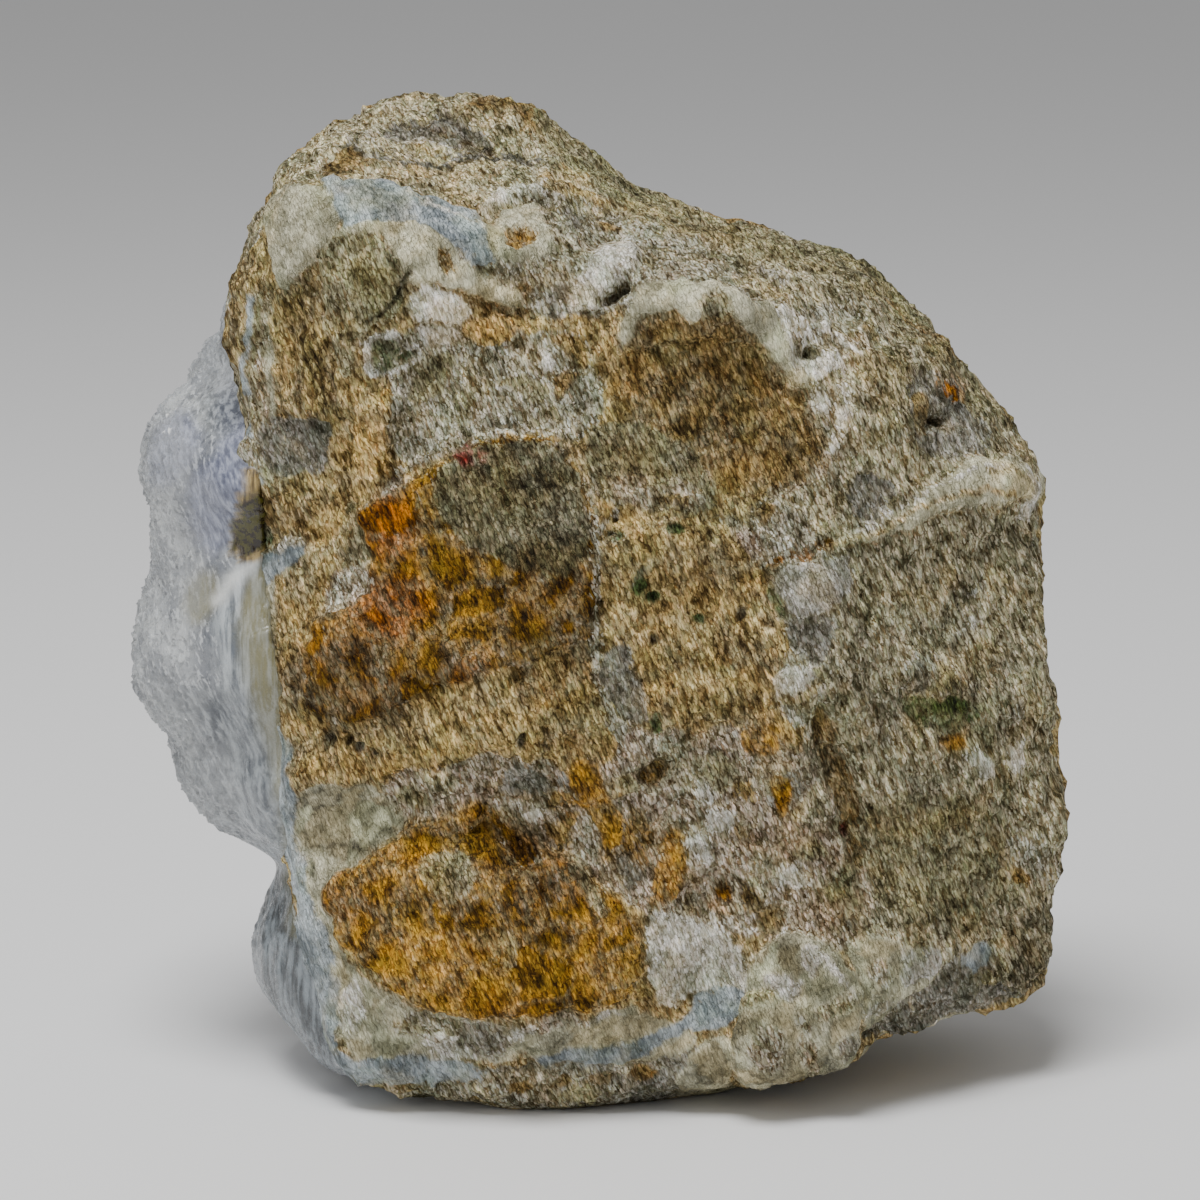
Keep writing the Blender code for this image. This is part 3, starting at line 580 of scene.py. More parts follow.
spots(70, 0.15, 0.8, (
    ("lilac", 768, 1046, 20, 12, -0.05), ("lilac", 805, 1052, 14, 10, 0.05),
    ("white", 782, 985, 14, 18, -0.25), ("olive", 832, 1005, 10, 20, 0.35),
    ("olive", 758, 1002, 9, 16, 0.35), ("slate", 846, 1040, 8, 13, 0.1), ("white", 812, 958, 12, 8, -0.2),
    ("lilac", 878, 972, 14, 9, 0.15), ("white", 905, 956, 10, 8, -0.1), ("white", 878, 1008, 8, 14, -0.1),
    ("grey", 800, 1018, 12, 9, 0.1)))
patch("slate", "890,1026 912,998 931,978 961,948 988,937 997,951 985,985 1020,990 1010,1030 960,1040 "
    "890,1060 868,1050", rise=-0.3)
patch("white", "894,976 906,958 930,950 944,958 926,976 904,990", rise=0.3, edge=0.6, pale=-0.25)
band("pit_shade", 4, "880,1030 896,1022 920,1012 950,1008", rise=-0.3, edge=0.5, pale=0.6)
patch("blue", "966,950 988,938 996,952 982,972 968,968", pale=-0.1)
patch("dun", "1000,930 1050,900 1070,880 1060,950 1030,1010 1012,990", pale=-0.2)

# Left edge: the blue-grey chalcedony that runs down the contact, the olive one inside it and the dark pit.
patch("grey", "250,430 262,470 250,500 262,520 262,556 225,600 205,560 228,500 236,440", pale=-0.05)
patch("tan", "262,480 330,470 352,500 330,545 300,540 262,552 236,566 232,545 262,530", pale=0.1)
patch("olive", "246,504 262,495 275,502 274,522 263,542 248,552 238,534", rise=-0.3, edge=1.2, pale=-0.4)
patch("brown", "240,500 262,494 276,502 272,528 254,530", pale=-0.55)
patch("green", "236,528 256,530 266,536 258,552 240,550", pale=0.2)
patch("green", "236,545 250,538 262,546 250,560 238,562", rise=-0.3)
patch("blue", "205,620 262,556 300,540 302,552 278,572 272,600 268,650 264,711 288,742 292,785 295,841 "
    "302,876 320,928 336,981 344,1044 330,1066 300,1062 270,1010 262,870 230,800 200,700", rise=0.2,
    edge=1.5)
band("white", 3.5, "300,541 280,548 262,556 240,580", rise=0.6, edge=0.5)
patch("cream", "262,590 276,575 274,610 268,650 268,700 258,690 256,640", pale=-0.12)


# Where the face isn't seen, the same kinds of stone lie in fragments with seams between them.
def scatter_fragments(points, size, start):
    """Distance inside the nearest fragment's edge, and a number from 0 to 1 for that fragment."""
    edge = np.empty(len(points))
    pick = np.empty(len(points))
    shift = Vector((start, -start, start))
    for i, p in enumerate(points.tolist()):
        (near, far, _, _), (a, b, _, _) = noise.voronoi(Vector(p) / size + shift)
        edge[i] = (far * far - near * near) / (2.0 * (b - a).length + 1e-6) * size
        pick[i] = noise.cell(a * 3.1 + Vector((0.5, 0.5, 0.5))) % 1.0
    return edge, pick


def nearest_on(node_name, points):
    """The place on a CAD node that is nearest to each point, and how far off it is."""
    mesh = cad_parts[node_name].data
    corners = [Vector(p) for p in places(mesh).tolist()]
    surface = BVHTree.FromPolygons(corners, [tuple(face.vertices) for face in mesh.polygons])
    found = [surface.find_nearest(Vector(p)) for p in points.tolist()]
    return np.array([f[0] for f in found]), np.array([f[3] for f in found])


FRAGMENT_SIZE = 15.0
PEBBLE_SIZE = 4.2
FACET_SIZE = 3.4

wander = np.column_stack([lumps(rock_points, 6.0, s, 0.8, 3) for s in (2.1, 5.7, 9.9)])
fragment_edge, fragment_pick = scatter_fragments(rock_points + 2.2 * wander, FRAGMENT_SIZE, 3.3)
seam = 0.5 + 1.1 * rise_between(wander[:, 0], -0.1, 0.6)
unseen = {kind: np.full(len(rock_points), -FAR) for kind in KINDS}
for kind, low, high in (("olive", 0.0, 0.22), ("brown", 0.22, 0.4), ("rust", 0.4, 0.5), ("slate", 0.5, 0.56),
                        ("dun", 0.56, 0.8), ("tan", 0.8, 1.01)):
    picked = (fragment_pick >= low) & (fragment_pick < high)
    unseen[kind] = np.where(picked, fragment_edge - seam, -fragment_edge - seam)
cement = seam - fragment_edge
white_part = wander[:, 1] * 4.0
# Beside the lining that stone is soaked with its chalcedony, and lies a little below it.
lining_gap = nearest_on("agate_lining", rock_points)[1]
low_front = rise_between(-rock_points[:, 1], 0.0, 6.0) * rise_between(-rock_points[:, 2], -44.0, -34.0)
soaked = 1.2 + 5.0 * low_front - lining_gap
unseen["grey"] = np.minimum(cement, white_part)
unseen["cream"] = np.minimum(cement, -white_part)
for kind in KINDS:
    unseen[kind] = np.minimum(unseen[kind], -2.0 * soaked)
unseen["blue"] = 2.0 * soaked
for kind in KINDS:
    inside[kind] = inside[kind] * in_view + unseen[kind] * (1.0 - in_view)
unseen_relief = 0.9 * rise_between(fragment_edge, 0.2, 2.2) * (fragment_pick - 0.2)
unseen_relief -= 0.3 * rise_between(-lining_gap, -1.5, -0.3)
relief = relief * in_view + unseen_relief * (1.0 - in_view)
# Round its edge the face lies a little inside the solid in most places, and a little outside it in a few.
for x, y, reach, rise in (
        (643, 186, 60, -1.1), (600, 160, 50, -0.3), (700, 207, 60, -0.7), (757, 222, 60, -0.8),
        (812, 241, 60, -0.9), (868, 262, 60, -0.1), (912, 298, 50, -0.6), (1028, 440, 50, -1.0),
        (1046, 520, 60, -1.3), (1052, 640, 70, -0.6), (1060, 745, 80, -0.9), (262, 205, 55, -0.9),
        (236, 258, 50, -0.8), (352, 112, 30, -0.8), (548, 110, 28, 0.8), (958, 336, 24, 1.2),
        (893, 1048, 50, -1.8), (940, 1032, 50, -1.4), (985, 1016, 40, -0.9), (1056, 920, 40, 0.6)):
    relief += rise * rise_between(depth_in_spot(x, y, reach, reach), 0.0, reach / TENTHS)
unseen_tone = (fragment_pick * 7.0 % 1.0 - 0.5) * 0.25
unseen_tone += 0.4 * rise_between(soaked, -0.5, 0.5) * (1.0 - low_front)
tone = tone * in_view + unseen_tone * (1.0 - in_view)
for name in stains:
    stains[name] = stains[name] * in_view
rusty = rise_between(unseen["rust"], -0.5, 1.0) * (1.0 - in_view)
stains["iron"] += 0.6 * rusty * rise_between(wander[:, 2], 0.0, 0.5)
stains["gold"] += 0.6 * rusty * rise_between(-wander[:, 2], 0.0, 0.5)

# Small fragments and blebs of quartz lie all through the cement and the grey stone.
small_edge, small_pick = scatter_fragments(rock_points + 0.9 * wander, PEBBLE_SIZE, 6.1)
cement_depth = np.maximum(inside["lilac"], inside["grey"]) - 0.2
for kind, low, high in (("white", 0.0, 0.1), ("brown", 0.14, 0.28), ("slate", 0.46, 0.54),
                        ("olive", 0.58, 0.68), ("grey", 0.72, 0.84), ("dun", 0.86, 0.94)):
    picked = (small_pick >= low) & (small_pick < high)
    pebble = np.where(picked, np.minimum(small_edge - 0.35, cement_depth), -np.abs(small_edge) - 0.35)
    lay(kind, pebble, rise=0.15, pale=0.1)

# The cream quartz is a mosaic of crystals, some greener, some browner, with dark lines between.
facet_edge, facet_pick = scatter_fragments(rock_points + 1.5 * wander, FACET_SIZE, 9.2)
in_quartz = rise_between(inside["cream"], 0.0, 0.6) * rise_between(seen_y, 700.0, 760.0)
facet_tone = (facet_pick * 7.0 % 1.0 - 0.5) * 0.6 - 0.4 * np.exp(-((facet_edge / 0.28) ** 2))
tone += in_quartz * facet_tone
ochre = rise_between(lumps(rock_points, 5.0, 15.1, 0.7, 4), 0.0, 0.6) * (1.0 - 0.7 * in_quartz)
moss = rise_between(lumps(rock_points, 5.0, 21.7, 0.7, 4), 0.0, 0.6) * (1.0 - 0.7 * in_quartz)
ochre = np.maximum(ochre, in_quartz * rise_between(facet_pick, 0.7, 0.75))
moss = np.maximum(moss, in_quartz * rise_between(-facet_pick, -0.3, -0.25))

# Chalcedony is smooth, the rock between is rough all over.
SWELL_RISE = 0.55
GRAIN_RISE = 0.42
CHIP_DEPTH = 0.45
STREAK_RISE = 0.3
STREAK_LEAN = 0.43
BURIED_DEPTH = 0.6

nearest_pale = np.maximum(np.maximum(inside["cream"], inside["blue"]), inside["white"])
rough = 1.0 - 0.65 * rise_between(nearest_pale, -0.2, 0.5)
relief += SWELL_RISE * lumps(rock_points, 7.0, 12.5, 0.9, 2) * (0.4 + 0.6 * rough)
relief += GRAIN_RISE * lumps(rock_points, 2.6, 4.4, 0.7, 4) * rough
relief -= CHIP_DEPTH * np.abs(lumps(rock_points, 1.9, 6.6, 0.8, 2)) * rough
lean_cos, lean_sin = math.cos(STREAK_LEAN), math.sin(STREAK_LEAN)
streaked = np.column_stack([
    (rock_points[:, 0] * lean_cos + rock_points[:, 2] * lean_sin) / 0.9,
    rock_points[:, 1] / 1.5,
    (rock_points[:, 2] * lean_cos - rock_points[:, 0] * lean_sin) / 2.8,
])
relief += STREAK_RISE * lumps(streaked, 1.0, 2.2, 0.8, 2) * rough
covered = rise_between(-lining_gap, -0.9, -0.2) * (1.0 - in_view)
relief = relief * (1.0 - covered) - BURIED_DEPTH * covered
on_foot = rise_between(rock_points[:, 2], 0.05, 1.5)
put_points(rock.data, rock_points + rock_ways * (relief * on_foot)[:, None])
keep_values(rock.data, {"in_" + kind: np.clip(inside[kind], -3.0, 3.0) for kind in KINDS})
keep_values(rock.data, stains)
keep_values(rock.data, {
    "tone": tone,
    "haze": rise_between(nearest_pale, -1.6, 0.2),
    "cloud": rise_between(lumps(rock_points, 3.4, 3.1, 0.7, 4), -0.55, 0.55),
    "ochre": ochre,
    "moss": moss,
})
rock.data.shade_smooth()


def add(tree, kind, sockets=None, **settings):
    """Adds a shader node. A socket is given a plain value or the output that feeds it."""
    made = tree.nodes.new(kind)
    for name, value in settings.items():
        setattr(made, name, value)
    for name, value in (sockets or {}).items():
        if isinstance(value, bpy.types.NodeSocket):
            tree.links.new(value, made.inputs[name])
        else:
            made.inputs[name].default_value = value
    return made


def calc(tree, operation, a, b=0.0):
    """The result of one sum on two values."""
    return add(tree, "ShaderNodeMath", {0: a, 1: b}, operation=operation).outputs[0]


def times(tree, a, b):
    """One value times another."""
    return calc(tree, "MULTIPLY", a, b)


def weigh(tree, value, weight, rest):
    """The value times its weight, plus the rest."""
    return add(tree, "ShaderNodeMath", {0: value, 1: weight, 2: rest}, operation="MULTIPLY_ADD").outputs[0]


def step(tree, value, low, high, start=0.0, end=1.0):
    """Runs smoothly from start at low to end at high."""
    sockets = {"Value": value, "From Min": low, "From Max": high, "To Min": start, "To Max": end}
    return add(tree, "ShaderNodeMapRange", sockets, interpolation_type="SMOOTHSTEP").outputs[0]


def blend(tree, factor, a, b, mode="MIX"):
    """One colour over another."""
    sockets = {0: factor, 6: a, 7: b}
    return add(tree, "ShaderNodeMix", sockets, data_type="RGBA", blend_type=mode).outputs[2]


def shade(code):
    """A colour given as red, green and blue in pairs of hexadecimal digits, as light."""
    parts = [int(code[i:i + 2], 16) / 255.0 for i in (0, 2, 4)]
    return (*(p / 12.92 if p <= 0.04045 else ((p + 0.055) / 1.055) ** 2.4 for p in parts), 1.0)


def two_tones(tree, share, dark, pale):
    """Runs from the dark colour to the pale one with the share."""
    return blend(tree, share, shade(dark), shade(pale))


def joined_colour(tree, red, green, blue):
    """A colour from how much red, green and blue it has."""
    return add(tree, "ShaderNodeCombineColor", {0: red, 1: green, 2: blue}).outputs[0]


def vectors(tree, operation, sockets):
    """The result of one sum on vectors."""
    return add(tree, "ShaderNodeVectorMath", sockets, operation=operation).outputs[0]


def leant(tree, vector, angle):
    """The vector, turned in the plane of the face."""
    sockets = {"Vector": vector, "Angle": angle}
    return add(tree, "ShaderNodeVectorRotate", sockets, rotation_type="Y_AXIS").outputs[0]


def soft_noise(tree, vector, scale, detail, roughness):
    """Soft noise from 0 to 1."""
    sockets = {"Vector": vector, "Scale": scale, "Detail": detail, "Roughness": roughness}
    return add(tree, "ShaderNodeTexNoise", sockets).outputs[0]


def cells(tree, vector, scale):
    """How far each place is from the middle of its cell, the cell's colour, and a single number for it."""
    made = add(tree, "ShaderNodeTexVoronoi", {"Vector": vector, "Scale": scale}, feature="F1").outputs
    number = add(tree, "ShaderNodeSeparateColor", {0: made["Color"]}).outputs[0]
    return made["Distance"], made["Color"], number


def stone_grain_group():
    """The grain that all the stone shares: leaning flakes, the cracks between them, strands and grains."""
    group = bpy.data.node_groups.new("stone_grain", "ShaderNodeTree")
    group.interface.new_socket("Vector", in_out="INPUT", socket_type="NodeSocketVector")
    start = add(group, "NodeGroupInput")
    sized = vectors(group, "SCALE", {0: start.outputs["Vector"], "Scale": 1.0 / MM})
    turned = leant(group, sized, STREAK_LEAN)
    speckle = soft_noise(group, sized, 1.5, 2.0, 0.65)
    pushed = vectors(group, "SCALE", {0: (2.0, -1.6, 1.8), "Scale": speckle})
    long = vectors(group, "MULTIPLY", {0: turned, 1: (4.6, 2.8, 1.5)})
    wide = vectors(group, "MULTIPLY", {0: turned, 1: (1.8, 1.1, 0.5)})
    flake_middle, flake_tint, flake = cells(group, vectors(group, "ADD", {0: long, 1: pushed}), 1.0)
    grain_middle, _, mosaic = cells(group, vectors(group, "ADD", {0: sized, 1: pushed}), 0.85)
    numbers = {
        "Flake": flake,
        "Crack": step(group, flake_middle, 0.45, 0.85),
        "Strand": soft_noise(group, wide, 1.0, 2.0, 0.6),
        "Speckle": speckle,
        "Mosaic": mosaic,
        "Grain Edge": step(group, grain_middle, 0.5, 0.85),
    }
    for name in numbers:
        group.interface.new_socket(name, in_out="OUTPUT", socket_type="NodeSocketFloat")
    group.interface.new_socket("Flake Tint", in_out="OUTPUT", socket_type="NodeSocketColor")
    add(group, "NodeGroupOutput", numbers | {"Flake Tint": flake_tint})
    return group


def new_stone(name):
    """A material, its tree of nodes, its shader, and the grain laid on the object's own coordinates."""
    material = bpy.data.materials.new(name)
    material.use_nodes = True
    tree = material.node_tree
    where = add(tree, "ShaderNodeTexCoord").outputs["Object"]
    grain = add(tree, "ShaderNodeGroup", {"Vector": where}, node_tree=stone_grain).outputs
    return material, tree, tree.nodes["Principled BSDF"], grain


def value_of(tree, name):
    """Reads a number that the mesh holds for each of its points."""
    return add(tree, "ShaderNodeAttribute", attribute_name=name).outputs["Fac"]


def set_inputs(node, values):
    """Gives a node's inputs these plain values."""
    for name, value in values.items():
        node.inputs[name].default_value = value


def finish_surface(tree, shader, colour, roughness, height, strength, depth):
    """Gives the shader its colour, its roughness and a fine relief this many millimetres deep."""
    bump = add(tree, "ShaderNodeBump", {"Height": height, "Strength": strength, "Distance": depth * MM})
    for name, value in (("Base Color", colour), ("Roughness", roughness), ("Normal", bump.outputs[0])):
        tree.links.new(value, shader.inputs[name])


stone_grain = stone_grain_group()

# Each kind of stone: its dark and pale colour, the shares of flakes, strands, grains and clouds in its
# pattern, how much its pattern is sharpened, and how far strands and flakes carry its edge out.
STONE_COLOURS = {
    "tan": ("4a3c22", "c4ac74", 0.34, 0.26, 0.12, 0.28, 0.12, 0.0, 0.0),
    "dun": ("494532", "c2ba9a", 0.34, 0.26, 0.12, 0.28, 0.12, 1.6, -0.4),
    "olive": ("3e3a29", "a49d78", 0.34, 0.26, 0.12, 0.28, 0.12, 1.2, 0.4),
    "brown": ("3e3119", "a78e5a", 0.34, 0.26, 0.12, 0.28, 0.12, -1.2, 0.4),
    "rust": ("3a2602", "9c741e", 0.34, 0.26, 0.10, 0.30, 0.12, 1.2, -0.4),
    "grey": ("4c4838", "c2bfaa", 0.38, 0.15, 0.32, 0.15, 0.12, -2.0, 0.8),
    "cream": ("838069", "d4d0b4", 0.08, 0.16, 0.38, 0.38, 0.06, -0.8, 0.1),
    "lilac": ("45382b", "b9ab97", 0.38, 0.15, 0.32, 0.15, 0.12, 2.0, -0.8),
    "blue": ("636d74", "b6bfc2", 0.12, 0.28, 0.20, 0.40, 0.06, 0.8, 0.0),
    "white": ("8d8a7b", "f0ede4", 0.25, 0.15, 0.35, 0.25, 0.10, 1.5, 0.4),
    "slate": ("454339", "9a978b", 0.36, 0.20, 0.20, 0.24, 0.12, -1.6, 0.4),
    "green": ("131c0c", "4a5830", 0.40, 0.20, 0.20, 0.20, 0.14, 1.6, 0.5),
    "red": ("3c0a06", "8c1c14", 0.25, 0.20, 0.25, 0.30, 0.10, -0.8, 0.5),
    # painted shade for pits and creases, not the colour of a stone
    "pit_shade": ("120e07", "3d311b", 0.25, 0.20, 0.25, 0.30, 0.10, 0.8, 0.3),
}
GLOSS = {"cream": 1.0, "blue": 1.0, "white": 0.6, "slate": 0.3}
EDGE_SHARPNESS = 8.0

rock_stone, tree, shader, grain = new_stone("breccia")
flake, crack, strand, speckle, mosaic, grain_edge, flake_tint = (
    grain[name] for name in ("Flake", "Crack", "Strand", "Speckle", "Mosaic", "Grain Edge", "Flake Tint")
)
cloud = value_of(tree, "cloud")
wide_strand = step(tree, strand, 0.32, 0.68)
strand_offset = calc(tree, "SUBTRACT", strand, 0.5)
flake_offset = calc(tree, "SUBTRACT", flake, 0.5)
colour = shade("808080")
total = 0.0
glossy = 0.0
for kind in KINDS:
    dark, pale, flakes, strands, grains, clouds, cut, strand_reach, flake_reach = STONE_COLOURS[kind]
    share = weigh(tree, mosaic, grains, times(tree, cloud, clouds))
    share = weigh(tree, flake, flakes, weigh(tree, wide_strand, strands, share))
    share = step(tree, share, cut, 1.0 - cut)
    edge = weigh(tree, flake_offset, flake_reach, value_of(tree, "in_" + kind))
    edge = weigh(tree, strand_offset, strand_reach, edge)
    weight = calc(tree, "EXPONENT", times(tree, edge, EDGE_SHARPNESS))
    total = calc(tree, "ADD", weight, total)
    cover = calc(tree, "DIVIDE", weight, total)
    colour = blend(tree, cover, colour, two_tones(tree, share, dark, pale))
    glossy = times(tree, glossy, calc(tree, "SUBTRACT", 1.0, cover))
    if kind in GLOSS:
        glossy = weigh(tree, cover, GLOSS[kind], glossy)
    if kind == "rust":
        gold = times(tree, value_of(tree, "gold"), step(tree, speckle, 0.35, 0.65, 0.4, 1.0))
        iron = times(tree, value_of(tree, "iron"), step(tree, strand, 0.3, 0.6, 0.5, 1.0))
        for stained, most, deep, light in (
                (gold, 0.85, "6e5016", "d6a33c"),
                (iron, 0.8, "542803", "bf6a08"),
                (value_of(tree, "shade"), 0.8, "231704", "6b4d14")):
            colour = blend(tree, times(tree, stained, most), colour, two_tones(tree, share, deep, light))
# A haze of silica beside the chalcedony, a little colour in each flake, dark cracks and a few dark gaps, the
# lines between grains of quartz, drifts of ochre and green, dark and pale strands, and the stone's own tone.
rocky = calc(tree, "SUBTRACT", 1.0, times(tree, glossy, 0.85))
haze = times(tree, value_of(tree, "haze"), rocky)
colour = blend(tree, times(tree, haze, step(tree, speckle, 0.3, 0.7, 0.1, 0.5)), colour, shade("b8b298"))
tint_red, tint_green, tint_blue = add(tree, "ShaderNodeSeparateColor", {0: flake_tint}).outputs[:3]
dark_gap = calc(tree, "MAXIMUM", step(tree, tint_blue, 0.9, 0.94), times(tree, crack, 0.85))
brightness = calc(tree, "ADD", value_of(tree, "tone"), weigh(tree, tint_red, 0.26, 0.94))
flake_hue = joined_colour(tree, weigh(tree, tint_green, 0.16, 0.92), 1.0, weigh(tree, tint_red, 0.26, 0.85))
for share, hue in (
        (rocky, flake_hue),
        (times(tree, dark_gap, rocky), (0.42, 0.35, 0.25, 1.0)),
        (times(tree, times(tree, grain_edge, glossy), 0.5), (0.6, 0.56, 0.46, 1.0)),
        (value_of(tree, "ochre"), (1.03, 0.94, 0.8, 1.0)),
        (value_of(tree, "moss"), (0.88, 0.93, 0.86, 1.0)),
        (times(tree, step(tree, strand, 0.43, 0.37), rocky), (0.62, 0.57, 0.48, 1.0)),
        (times(tree, step(tree, strand, 0.57, 0.63), rocky), (1.4, 1.4, 1.42, 1.0)),
        (1.0, joined_colour(tree, brightness, brightness, brightness))):
    colour = blend(tree, share, colour, hue, "MULTIPLY")
height = weigh(tree, wide_strand, 0.7, weigh(tree, crack, -0.7, times(tree, flake, 0.5)))
finish_surface(tree, shader, colour, step(tree, glossy, 0.0, 1.0, 0.8, 0.4), height, 0.8, 0.35)
set_inputs(shader, {"Specular IOR Level": 0.12})
rock.data.materials.append(rock_stone)
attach(rock, "root")
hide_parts("host_rock")


# Agate lining
# The real piece is the geode's own wall: pale blue-grey chalcedony grown in layers on the rock, in rounded
# lobes on the outside left and broken across at the back, where its fine blue lace bands show.

LINING_GRAIN = 0.55
LINING_SMOOTHING = 3
FILL_DEPTH = 5.0
LOBE_RISE = 0.55
FINE_RISE = 0.1
PIT_DEPTH = 0.9
TOOTH_HEIGHT = (0.15, 0.4)
TOOTH_LEAN = 0.3

lining = copy_of("agate_lining", "agate_lining_detail")
even_out(lining, LINING_GRAIN, LINING_SMOOTHING)
lining_points = places(lining.data)
lining_ways = directions(lining.data)

nearest_rock = nearest_on("host_rock", lining_points)[0]
contact = np.linalg.norm(nearest_rock - lining_points, axis=1)
towards_rock = (nearest_rock - lining_points) / np.maximum(contact, 0.05)[:, None]
hollow_gap = nearest_on("druzy_crust", lining_points)[1]

# Beside the rock the lining swells up to the level of the rock's face, and buries the joint.
lining_in_view = rise_between(facing(lining_points, lining_ways), -0.1, 0.3)
at_front = rise_between(-lining_points[:, 1], 1.0, 7.0) * rise_between(-lining_points[:, 2], -80.0, -70.0)
lining_points[:, 1] -= FILL_DEPTH * rise_between(-contact, -6.5, -0.4) * at_front
seen_x, seen_y = seen_at(lining_points)
beside_hollow = rise_between(depth_in_spot(246, 530, 26, 44), 0.0, 2.2) * at_front
pit_beside = rise_between(depth_in_spot(254, 526, 20, 30, 20), 0.0, 1.0) * at_front
upper_joint = rise_between(depth_in_spot(230, 380, 24, 70, 10), 0.0, 2.0) * at_front
lining_points[:, 0] += 1.0 * beside_hollow + 0.8 * upper_joint
lining_points[:, 1] -= 0.5 * beside_hollow
lining_points += towards_rock * (2.0 * rise_between(-contact, -3.5, -0.3) * at_front)[:, None]
outer_left = rise_between(-lining_points[:, 0], 33.0, 37.0) * rise_between(-lining_ways[:, 0], 0.25, 0.75)
swell = LOBE_RISE * lumps(lining_points, 7.0, 7.7, 0.9, 2)
swell += FINE_RISE * lumps(lining_points, 1.6, 3.9, 0.8, 2)
swell -= PIT_DEPTH * pit_beside
put_points(lining.data, lining_points + lining_ways * swell[:, None])

# Its colours as seen from the front, drawn like those of the rock.
seen_x, seen_y = seen_at(lining_points, 4.0, 4.0, 3)
lining_marks = {
    "vein": depth_inside("262,552 300,540 285,575 280,640 292,720 300,800 312,880 335,960 352,1060 300,1062 "
                         "272,960 258,860 236,790 222,700 214,620 232,572"),
    "olive": np.maximum(
        depth_inside("188,588 200,570 216,576 214,604 200,628 188,615"),
        depth_inside("244,590 262,562 300,545 300,1000 284,800 264,730 250,690 240,640")),
    "violet": np.maximum(
        depth_inside("222,370 245,380 252,450 246,510 222,560 196,540 186,500 196,470 222,450"),
        depth_inside("150,425 190,410 200,440 180,480 150,490")),
    "dull": np.maximum(
        depth_inside("146,700 200,690 262,700 285,840 240,850 176,800"),
        depth_inside("214,320 232,300 256,360 240,420 215,440 200,400")),
    "dusk": depth_inside("248,842 282,850 300,900 312,990 340,1070 300,1075 262,1010 250,930"),
    "crumb": 4.0 * depth_inside("243,470 262,468 284,486 286,545 270,553 250,566 238,562 230,546 236,520 "
                                "240,497"),
    # The hollow beside the rock: the rock's brown and green, darkened nearly to black as painted shade.
    "pit_shade": 5.0 * depth_inside("238,500 256,490 280,492 280,520 268,544 250,559 236,554 229,535"),
    "glow": depth_in_line("300,540 262,554 232,582 214,602", 3.0),
}
keep_values(lining.data, {
    mark: np.minimum(1.4 * rise_between(depth, -1.2, 1.2) * lining_in_view, 1.0)
    for mark, depth in lining_marks.items()
})


def raise_crystals(piece, where_grown, height, seed):
    """Draws single points of the mesh out as crystal tips, none beside another, where they grow."""
    pick = random.Random(seed)
    mesh = piece.data
    points = places(mesh)
    ways = directions(mesh)
    beside = [[] for _ in mesh.vertices]
    for edge in mesh.edges:
        a, b = edge.vertices
        beside[a].append(b)
        beside[b].append(a)
    order = list(range(len(points)))
    pick.shuffle(order)
    taken = np.zeros(len(points), bool)
    for i in order:
        if where_grown[i] < 0.05 or taken[i]:
            continue
        taken[i] = True
        taken[beside[i]] = True
        tall = pick.uniform(*height) * where_grown[i]
        lean = np.array([pick.uniform(-TOOTH_LEAN, TOOTH_LEAN) for _ in range(3)])
        points[i] += (ways[i] + lean) * tall
    put_points(mesh, points)


# Painted highlights: tiny white glints are painted into the colour at a few spots, where the light would
# catch small faces.
painted_glint_pick = random.Random(5)
painted_glint_spots = np.maximum(np.maximum(depth_in_spot(166, 424, 16, 26), depth_in_spot(154, 662, 12, 40)),
                         depth_in_spot(188, 712, 10, 16))
painted_glint = np.array([painted_glint_pick.random() < 0.05 for _ in lining_points]) * rise_between(painted_glint_spots, 0.0, 0.8)

lining.data.shade_smooth()
raise_crystals(lining, outer_left * rise_between(contact, 0.6, 2.0), TOOTH_HEIGHT, 11)
keep_values(lining.data, {
    "painted_glint": painted_glint * lining_in_view,
    "druse": outer_left,
    "patch": scatter_fragments(lining_points + 0.6 * swell[:, None], 6.0, 4.9)[1],
    "cloud": rise_between(lumps(lining_points, 4.0, 3.1, 0.8, 4), -0.5, 0.5),
    "hollow_gap": hollow_gap,
})

agate, tree, shader, grain = new_stone("blue_lace_agate")
strand, speckle = grain["Strand"], grain["Speckle"]
